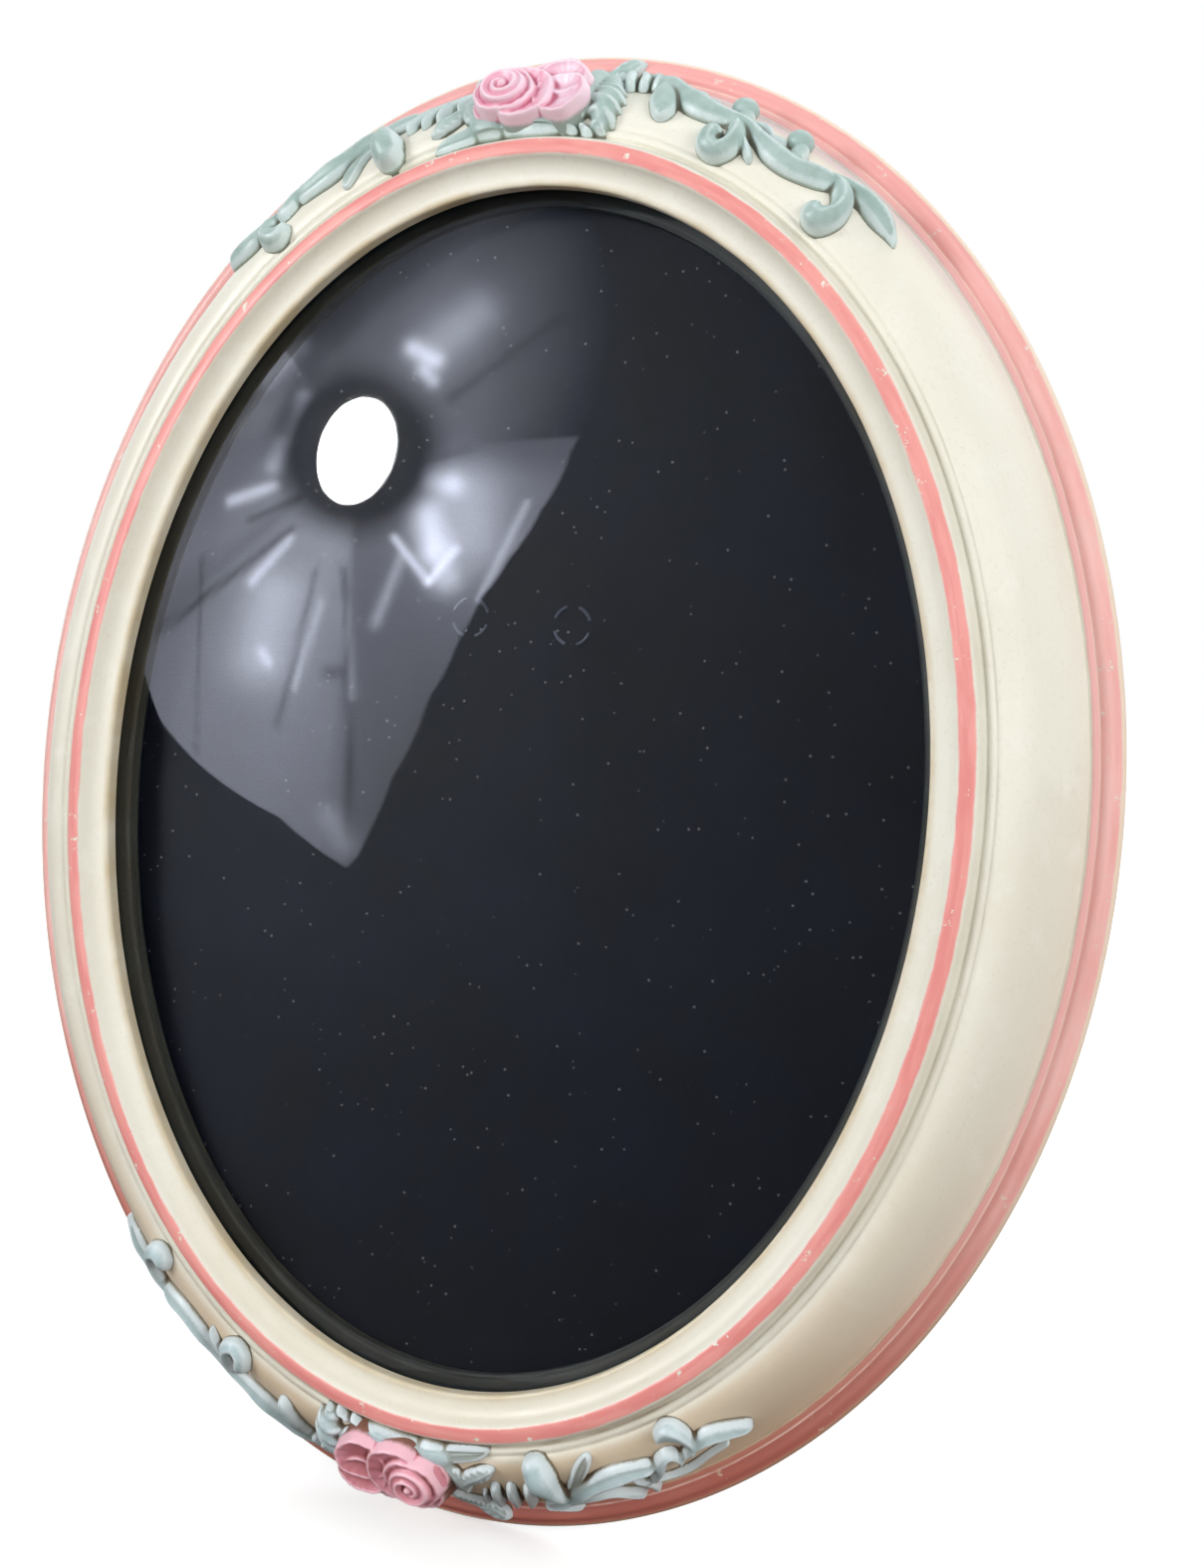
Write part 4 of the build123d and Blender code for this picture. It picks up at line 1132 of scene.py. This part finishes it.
# Plated steel hardware
def makePlatedSteel():
    material, _, shader, place = startMaterial("brassPlatedSteel", 0.3, 1.0)
    tarnish = noise(place, 4, 5.0, 0.65)
    scratches = noise(place, 0.7, 3.0, 0.5, 2.0)
    colour = layered(shade(205, 178, 122), (between(tarnish, 0.4, 0.7), shade(168, 136, 82)),
                     (between(scratches, 0.6, 0.75, 0, 0.35), shade(226, 214, 184)))
    finishMaterial(shader, colour, between(tarnish, 0.35, 0.75, 0.22, 0.48), scratches, 0.25, 0.03)
    return material


platedSteel = makePlatedSteel()
for node in ("hinge_board_leaf", "hinge_pin"):
    dressNode("plated_" + node, node, platedSteel, "frame", 0.12)
dressNode("plated_hinge_strut_leaf", "hinge_strut_leaf", platedSteel, "strut", 0.12)
for corner in ("upper_right", "upper_left", "lower_left", "lower_right"):
    dressNode("turnButton_" + corner, "turn_button_" + corner, platedSteel, "button_" + corner,
              0.2)


# One fastener is turned on its axis and repeated by a tree at each of its places, each with its own spin
def makeRepeatTree():
    tree, entry, leave = startTree("repeatedFastener", {
        "One": "Object", "Tilt": "Float", "Most spin": "Float", "Seed": "Int", "Material": "Material"})
    one = tree.nodes.new("GeometryNodeObjectInfo")
    tree.links.new(entry["One"], one.inputs["Object"])
    spin = add(tree, "FunctionNodeRandomValue", {
        2: 0.0, 3: entry["Most spin"], "Seed": entry["Seed"]}, 1, data_type="FLOAT")
    spun = add(tree, "ShaderNodeCombineXYZ", {1: spin})
    tilt = add(tree, "ShaderNodeCombineXYZ", {0: entry["Tilt"]})
    placed = add(tree, "GeometryNodeInstanceOnPoints", {
        "Points": entry["Geometry"], "Instance": one.outputs["Geometry"], "Rotation": tilt})
    turned = add(tree, "GeometryNodeRotateInstances", {
        "Instances": placed, "Rotation": spun, "Local Space": True})
    return endTree(tree, leave, turned, entry["Material"])


repeatTree = makeRepeatTree()
# sections from the head's middle to the tip, as distance off the axis and height above the seat
rivetHead = [(0, 0.3), (0.7, 0.3), (0.82, 0.38), (1.0, 0.5), (1.4, 0.58), (1.9, 0.59), (2.4, 0.5),
             (2.75, 0.34), (2.94, 0.16), (3.0, 0), (1.6, 0)]
fasteners = {
    "board_rivets": {
        "section": rivetHead + [(1.6, -3.38), (2.5, -3.4), (2.56, -3.55), (2.4, -3.68), (0, -3.68)],
        "places": [(-9, -6.14, 28), (9, -6.14, 28)]},
    "strut_rivets": {
        "section": rivetHead + [(1.6, -3.3), (2.9, -3.3), (2.96, -3.42), (2.7, -3.56), (1.0, -3.58),
                                (0, -3.45)],
        "places": [(-8.68, 0.831, 13.216), (8.68, 0.831, 13.216)], "body": "strut", "tilt": 24.0},
    "turn_button_screws": {
        "section": [(0, 1.08), (0.7, 1.05), (1.25, 0.94), (1.75, 0.74), (2.12, 0.48), (2.33, 0.2),
                    (2.38, 0.04), (2.3, 0), (1.4, 0), (1.4, -5.4), (0.9, -6.1), (0, -6.28)],
        "places": [(48.72, -5.64, 82.69), (-48.72, -5.64, 82.69), (-48.72, -5.64, -82.69),
                   (48.72, -5.64, -82.69)],
        "spin": 2.6, "slot": ((-0.35, 0.35), (0.53, 1.3), (-4, 4))},  # sides of the box that cuts the slot
}
fastenerSides = 32
fastenerSeed = 5


def pointsOf(places):
    return meshOf("places", [tuple(v * mm for v in place) for place in places])


def slotted(mesh, wide, deep, long):
    corners = [(x * mm, y * mm, z * mm) for x in wide for y in deep for z in long]
    cutter = inScene("cutter", meshOf("cutter", corners, [
        (0, 1, 3, 2), (4, 6, 7, 5), (0, 4, 5, 1), (2, 3, 7, 6), (0, 2, 6, 4), (1, 5, 7, 3)]))
    cut = modified(mesh, "BOOLEAN", {"operation": "DIFFERENCE", "solver": "EXACT", "object": cutter})
    bpy.data.objects.remove(cutter)
    return cut


def makeFasteners(node, section, places, body="frame", tilt=0.0, spin=0.0, slot=None):
    one = swept([(across, -height) for across, height in section], {
        "Steps round": fastenerSides, "Material": platedSteel})
    if slot:
        one = slotted(one, *slot)
    source = inScene("oneFastener", one)
    mesh = grown(pointsOf(places), repeatTree, {
        "One": source, "Tilt": math.radians(tilt), "Most spin": spin, "Seed": fastenerSeed,
        "Material": platedSteel})
    bpy.data.objects.remove(source)
    finishPiece("plated_" + node, mesh, body, [node], angle=32)


for node, details in fasteners.items():
    makeFasteners(node, **details)


# The board rivets' four prongs press through the lining as two rings of short ridges
marks = {"radius": 3.15, "ridge": 0.26, "start": 0.35, "arc": 52.0, "prongs": 4, "steps": (12, 10),
         "places": [(-9, -10.16, 28), (9, -10.16, 28)]}


def makeMarkTree():
    tree, entry, leave = startTree("prongMarks", {
        "Radius": "Float", "Ridge": "Float", "Arc": "Float", "Prongs": "Int", "Material": "Material"})
    arc = add(tree, "GeometryNodeCurveArc", {
        "Resolution": marks["steps"][0], "Radius": entry["Radius"], "Start Angle": marks["start"],
        "Sweep Angle": entry["Arc"]})
    profile = add(tree, "GeometryNodeCurvePrimitiveCircle", {
        "Resolution": marks["steps"][1], "Radius": entry["Ridge"]})
    ridge = add(tree, "GeometryNodeCurveToMesh", {
        "Curve": arc, "Profile Curve": profile, "Fill Caps": True})
    centre = add(tree, "GeometryNodeMeshLine", {"Count": entry["Prongs"], "Offset": (0, 0, 0)})
    index = add(tree, "GeometryNodeInputIndex")
    turn = maths("DIVIDE", times(index, math.tau), entry["Prongs"])
    ring = add(tree, "GeometryNodeInstanceOnPoints", {
        "Points": centre, "Instance": ridge, "Rotation": add(tree, "ShaderNodeCombineXYZ", {2: turn})})
    both = add(tree, "GeometryNodeInstanceOnPoints", {
        "Points": entry["Geometry"], "Instance": ring, "Rotation": (math.pi / 2, 0, 0)})
    return endTree(tree, leave, both, entry["Material"])


def makeMarks():
    # the marks' paper is painted far paler than the lining, a painted highlight where the ridges catch the
    # light
    glintPaper = makePaper("liningPaperPaintedGlints", shade(70, 74, 86), shade(112, 118, 132), 0.4, 0.28)
    mesh = grown(pointsOf(marks["places"]), makeMarkTree(), {
        "Radius": marks["radius"] * mm, "Ridge": marks["ridge"] * mm, "Arc": math.radians(marks["arc"]),
        "Prongs": marks["prongs"], "Material": glintPaper})
    finishPiece("rivetMarks", mesh, "frame", [], angle=60)


makeMarks()


# Stage: pale floor, soft lamps, white background, and what stands before the frame and shows in its
# glass
studio = {
    "key": {"place": (-1.0, -0.85, 0.72), "size": 0.55, "power": 9.2, "colour": (1.0, 0.99, 0.97)},
    "front": {"place": (0.20, -1.30, 0.50), "size": 1.2, "power": 4.4, "colour": (1.0, 0.985, 0.96)},
    "right": {"place": (1.25, -0.45, 0.60), "size": 0.9, "power": 9.6, "colour": (1.0, 0.98, 0.95)},
    "back": {"place": (0.2, 1.0, 0.7), "size": 0.9, "power": 9.0, "colour": (0.96, 0.98, 1.0)},
    "worldColour": (0.93, 0.965, 1.0),
    "world": 0.57,
    "floorReach": 2.6,
    "table": (84, 62, 44),
    "tableSeen": (0.8, 0.8, 0.8, 1),
    "lift": 0.4,
    "whiteFrom": 0.22,
    "whiteBy": 0.62,
}
white = (1, 1, 1, 1)
frameMiddle = (0, 0, 0.12)


def seenRays(tree):
    # 1 for rays that the camera, clear glass or a gloss sends out
    path = tree.nodes.new("ShaderNodeLightPath")
    seen = maths("MAXIMUM", path.outputs["Is Camera Ray"], path.outputs["Is Transmission Ray"])
    return maths("MAXIMUM", seen, path.outputs["Is Glossy Ray"])


def makeFloor():
    half = studio["floorReach"]
    mesh = meshOf("floor", [(-half, -half, 0), (half, -half, 0), (half, half, 0), (-half, half, 0)],
                  [(0, 1, 2, 3)])
    material, tree, shader, place = startMaterial("paleFloor", 0.9, specular=0.1)
    seen = seenRays(tree)
    # brown table for the light that it throws back, white where it is seen
    tree.links.new(mixed(seen, shade(*studio["table"]), studio["tableSeen"]), shader.inputs["Base Color"])
    far = between(add(tree, "ShaderNodeVectorMath", {0: place}, 1, operation="LENGTH"),
                  studio["whiteFrom"], studio["whiteBy"])
    away = add(tree, "ShaderNodeEmission", {0: white, 1: 1.0})
    lift = add(tree, "ShaderNodeEmission", {0: white, 1: times(seen, studio["lift"])})
    near = add(tree, "ShaderNodeAddShader", {0: shader.outputs[0], 1: lift})
    both = add(tree, "ShaderNodeMixShader", {0: times(seen, far), 1: near, 2: away})
    tree.links.new(both, tree.nodes["Material Output"].inputs[0])
    mesh.materials.append(material)
    inScene("floor", mesh)


def makeWorld():
    world = bpy.data.worlds.new("softStudio")
    bpy.context.scene.world = world
    world.use_nodes = True
    tree = world.node_tree
    seen = seenRays(tree)
    background = tree.nodes["Background"].inputs
    tree.links.new(mixed(seen, (*studio["worldColour"], 1), white), background["Color"])
    level = plus(times(seen, 1 - studio["world"]), studio["world"])
    tree.links.new(level, background["Strength"])


def makeLamp(name, place, size, power, colour):
    data = bpy.data.lights.new(name, "AREA")
    data.shape = "DISK"
    data.size = size
    data.energy = power
    data.color = colour
    lamp = inScene(name, data)
    lamp.location = place
    lamp.rotation_euler = (Vector(frameMiddle) - Vector(place)).to_track_quat("-Z", "Y").to_euler()
    lamp.visible_glossy = False
    lamp.visible_transmission = False


def stageSheet(name, points, faces, material, levels=None):
    # a sheet that only glossy surfaces see
    mesh = meshOf(name, points, faces)
    mesh.materials.append(material)
    if levels is not None:
        storeNumbers(mesh, "level", levels)
    sheet = inScene(name, mesh)
    for ray in ("camera", "diffuse", "volume_scatter", "shadow"):
        setattr(sheet, "visible_" + ray, False)


# dark room before the frame: a sheet that hangs in front and sweeps under it
room = {"reach": 1.9, "top": 78, "bottom": -90, "sides": 112, "cells": (28, 16), "level": 0.02,
        "low": 0.006, "lowBelow": -8}
# tints of what glows, from its dimmest to its brightest, with the levels between which each gives way
glowTints = {"dim": (1.0, 0.78, 0.68, 1), "middle": (0.58, 0.7, 1.0, 1), "bright": (0.79, 0.83, 1.0, 1),
             "dimToMiddle": (0.006, 0.02), "middleToBright": (0.05, 0.5)}


def makeGlow(name, lampLevel=None):
    # light from the level stored on the mesh, or white light at one level
    material = bpy.data.materials.new(name)
    material.use_nodes = True
    tree = material.node_tree
    tree.nodes.remove(tree.nodes["Principled BSDF"])
    level, tint = lampLevel, white
    if lampLevel is None:
        level = attribute(tree, "level")
        cool = mixed(between(level, *glowTints["middleToBright"]), glowTints["middle"], glowTints["bright"])
        tint = mixed(between(level, *glowTints["dimToMiddle"]), glowTints["dim"], cool)
    glow = add(tree, "ShaderNodeEmission", {0: tint, 1: level})
    tree.links.new(glow, tree.nodes["Material Output"].inputs[0])
    return material


def makeRoom():
    azimuth, elevation = np.meshgrid(
        *[np.linspace(low, high, cells + 1) for low, high, cells in zip(
            (-room["sides"], room["bottom"]), (room["sides"], room["top"]), room["cells"])], indexing="ij")
    levels = np.where(elevation > room["lowBelow"], room["level"], room["low"])
    a, e = np.radians(azimuth), np.radians(elevation)
    points = room["reach"] * np.stack([np.sin(a) * np.cos(e), -np.cos(a) * np.cos(e), np.sin(e)], -1)
    points = (points + frameMiddle).reshape(-1, 3)
    points[:, 2] = np.maximum(points[:, 2], 0.001)
    stageSheet("darkRoom", points, gridFaces(*a.shape), makeGlow("darkRoomGlow"), levels.ravel())


# The lamp and its umbrella, drawn as they show in the glass: places are points of the picture, angles run
# round the lamp from its right over its top, and folds are runs that are brighter
umbrella = {
    "picture": (1209, 1575),
    "sensor": 36.0,
    "centre": (358, 453),
    "lamp": (55, 38, 18),
    "lampLevel": 90.0,
    "lampSides": 48,
    "distance": 1.5,
    "lampDistance": 1.4,
    "cells": (241, 70),
    "hub": (60, 104),
    "softSides": (3, 125),
    "outline": [
        (-180, 175), (-162, 215), (-136, 300), (-126, 335), (-117, 352), (-102, 376), (-91, 421),
        (-88, 380), (-84, 330), (-74, 258), (-62, 215), (-50, 192), (-35, 186), (-18, 193), (0, 214),
        (14, 246), (27, 285), (44, 330), (62, 330), (91, 210), (119, 150), (150, 150), (180, 175)],
    "levels": [
        (-180, 1.7), (-162, 1.9), (-148, 2.2), (-140, 1.6), (-136, 2.2), (-120, 2.9), (-105, 3.1),
        (-96, 2.6), (-91, 1.3), (-86, 1.3), (-75, 1.5), (-60, 2.1), (-45, 3.0), (-30, 3.3), (-10, 2.7),
        (-2, 1.6), (3, 1.3), (30, 1.3), (48, 1.8), (62, 1.6), (75, 1.1), (100, 0.9), (125, 1.5),
        (150, 1.6), (180, 1.7)],
    "folds": [
        ((432, 482), (452, 486), 12, 6.0), ((426, 515), (436, 545), 16, 6.5),
        ((436, 560), (446, 580), 16, 5.0), ((395, 540), (428, 584), 4, 6.0),
        ((430, 584), (456, 552), 4, 6.0), ((470, 500), (470, 540), 34, 3.0),
        ((402, 560), (376, 625), 6, 2.2), ((528, 505), (480, 602), 4, 2.6),
        ((306, 400), (294, 440), 8, 5.0), ((284, 448), (276, 468), 9, 4.0),
        ((232, 503), (274, 488), 6, 4.0), ((252, 584), (290, 541), 5, 3.8),
        ((275, 600), (262, 660), 30, 2.6), ((322, 605), (294, 690), 4, 2.0),
        ((414, 350), (436, 362), 9, 5.5), ((424, 372), (434, 382), 7, 4.5),
        ((436, 350), (480, 312), 22, 2.2), ((266, 380), (300, 348), 10, 2.0),
        ((345, 610), (352, 700), 5, 1.4), ((330, 820), (346, 850), 12, 1.2),
        ((262, 655), (268, 665), 6, 3.0)],
    "creases": [
        ((292, 532), (160, 634), 4, 0.6), ((316, 574), (278, 730), 3, 0.45),
        ((344, 572), (352, 870), 3, 0.6), ((328, 676), (338, 674), 6, 0.6),
        ((300, 500), (250, 522), 4, 0.5), ((400, 470), (470, 452), 4, 0.3),
        ((452, 400), (560, 320), 6, 0.35), ((202, 560), (196, 760), 2, 0.4)],
}


def mirrored(x, y, distance):
    # where the camera's rays go, that far on, after they meet the glass at these points of the picture
    place = camera["flatPlace"]
    wide, tall = umbrella["picture"]
    focal = camera["lens"] / umbrella["sensor"] * tall
    aim = np.stack([(x - wide / 2) / focal, (tall / 2 - y) / focal, 0 * x - 1], -1)
    ray = unit(aim @ np.array(place.to_3x3()).T)
    eye = np.array(place.translation) / mm
    radius, top = glass["radius"], glass["edgeHeight"] + glass["rise"]
    squash = (glass["edge"] / glass["tall"]) ** 2
    run = (-top - eye[1]) / ray[..., 1]
    for _ in range(40):  # steps towards the dome along each ray
        point = eye + ray * run[..., None]
        drop = np.sqrt(np.maximum(radius ** 2 - point[..., 0] ** 2 - squash * point[..., 2] ** 2, 1))
        run = run + (radius - drop - top - point[..., 1]) / ray[..., 1]
    off = unit(np.stack([point[..., 0] / drop, 0 * drop - 1, squash * point[..., 2] / drop], -1))
    back = ray - 2 * (ray * off).sum(-1, keepdims=True) * off
    far = (point * mm + back * distance).reshape(-1, 3)
    return far @ np.array(standUp.to_3x3()).T + np.array(standUp.translation)


def nearRun(x, y, start, end, width):
    dx, dy = end[0] - start[0], end[1] - start[1]
    share = np.clip(((x - start[0]) * dx + (y - start[1]) * dy) / (dx * dx + dy * dy), 0, 1)
    return np.exp(-((x - start[0] - share * dx) ** 2 + (y - start[1] - share * dy) ** 2) / width ** 2)


def makeUmbrella():
    angle, share = np.meshgrid(*[np.linspace(low, high, count) for low, high, count in zip(
        (-180, 0), (180, 1), umbrella["cells"])], indexing="ij")
    outline, levels = np.array(umbrella["outline"]), np.array(umbrella["levels"])
    reach = np.interp(angle, *outline.T) * share
    middle = umbrella["centre"]
    x = middle[0] + reach * np.cos(np.radians(angle))
    y = middle[1] - reach * np.sin(np.radians(angle))
    cloth = np.interp(angle, *levels.T) * (1.15 - 0.6 * share)
    for start, end, width, level in umbrella["folds"]:
        cloth = cloth + level * nearRun(x, y, start, end, width)
    for start, end, width, depth in umbrella["creases"]:
        cloth = cloth * (1 - depth * nearRun(x, y, start, end, width))
    near, far = umbrella["hub"]
    lit = np.clip((reach - near) / (far - near), 0, 1)
    first, last = umbrella["softSides"]
    soft = np.where((angle > first) & (angle < last), np.clip(2 * (1 - share), 0, 1), 1)
    cloth = 0.05 + 1.2 * cloth * lit * lit * (3 - 2 * lit) * soft
    stageSheet("umbrellaCloth", mirrored(x, y, umbrella["distance"]), gridFaces(*share.shape),
               makeGlow("umbrellaGlow"), cloth.ravel())
    long, wide, tilt = umbrella["lamp"]
    sides = umbrella["lampSides"]
    around = np.linspace(0, math.tau, sides, endpoint=False)
    sine, cosine = long * np.sin(around), wide * np.cos(around)
    t = math.radians(tilt)
    x = middle[0] + sine * math.sin(t) + cosine * math.cos(t)
    y = middle[1] - sine * math.cos(t) + cosine * math.sin(t)
    stageSheet("umbrellaLamp", mirrored(x, y, umbrella["lampDistance"]), [tuple(range(sides))],
               makeGlow("lampGlow", umbrella["lampLevel"]))


makeFloor()
makeWorld()
makeRoom()
makeUmbrella()
for name in ("key", "front", "right", "back"):
    makeLamp(name, **studio[name])
bpy.context.scene.view_settings.view_transform = "Standard"
print("stage ready")
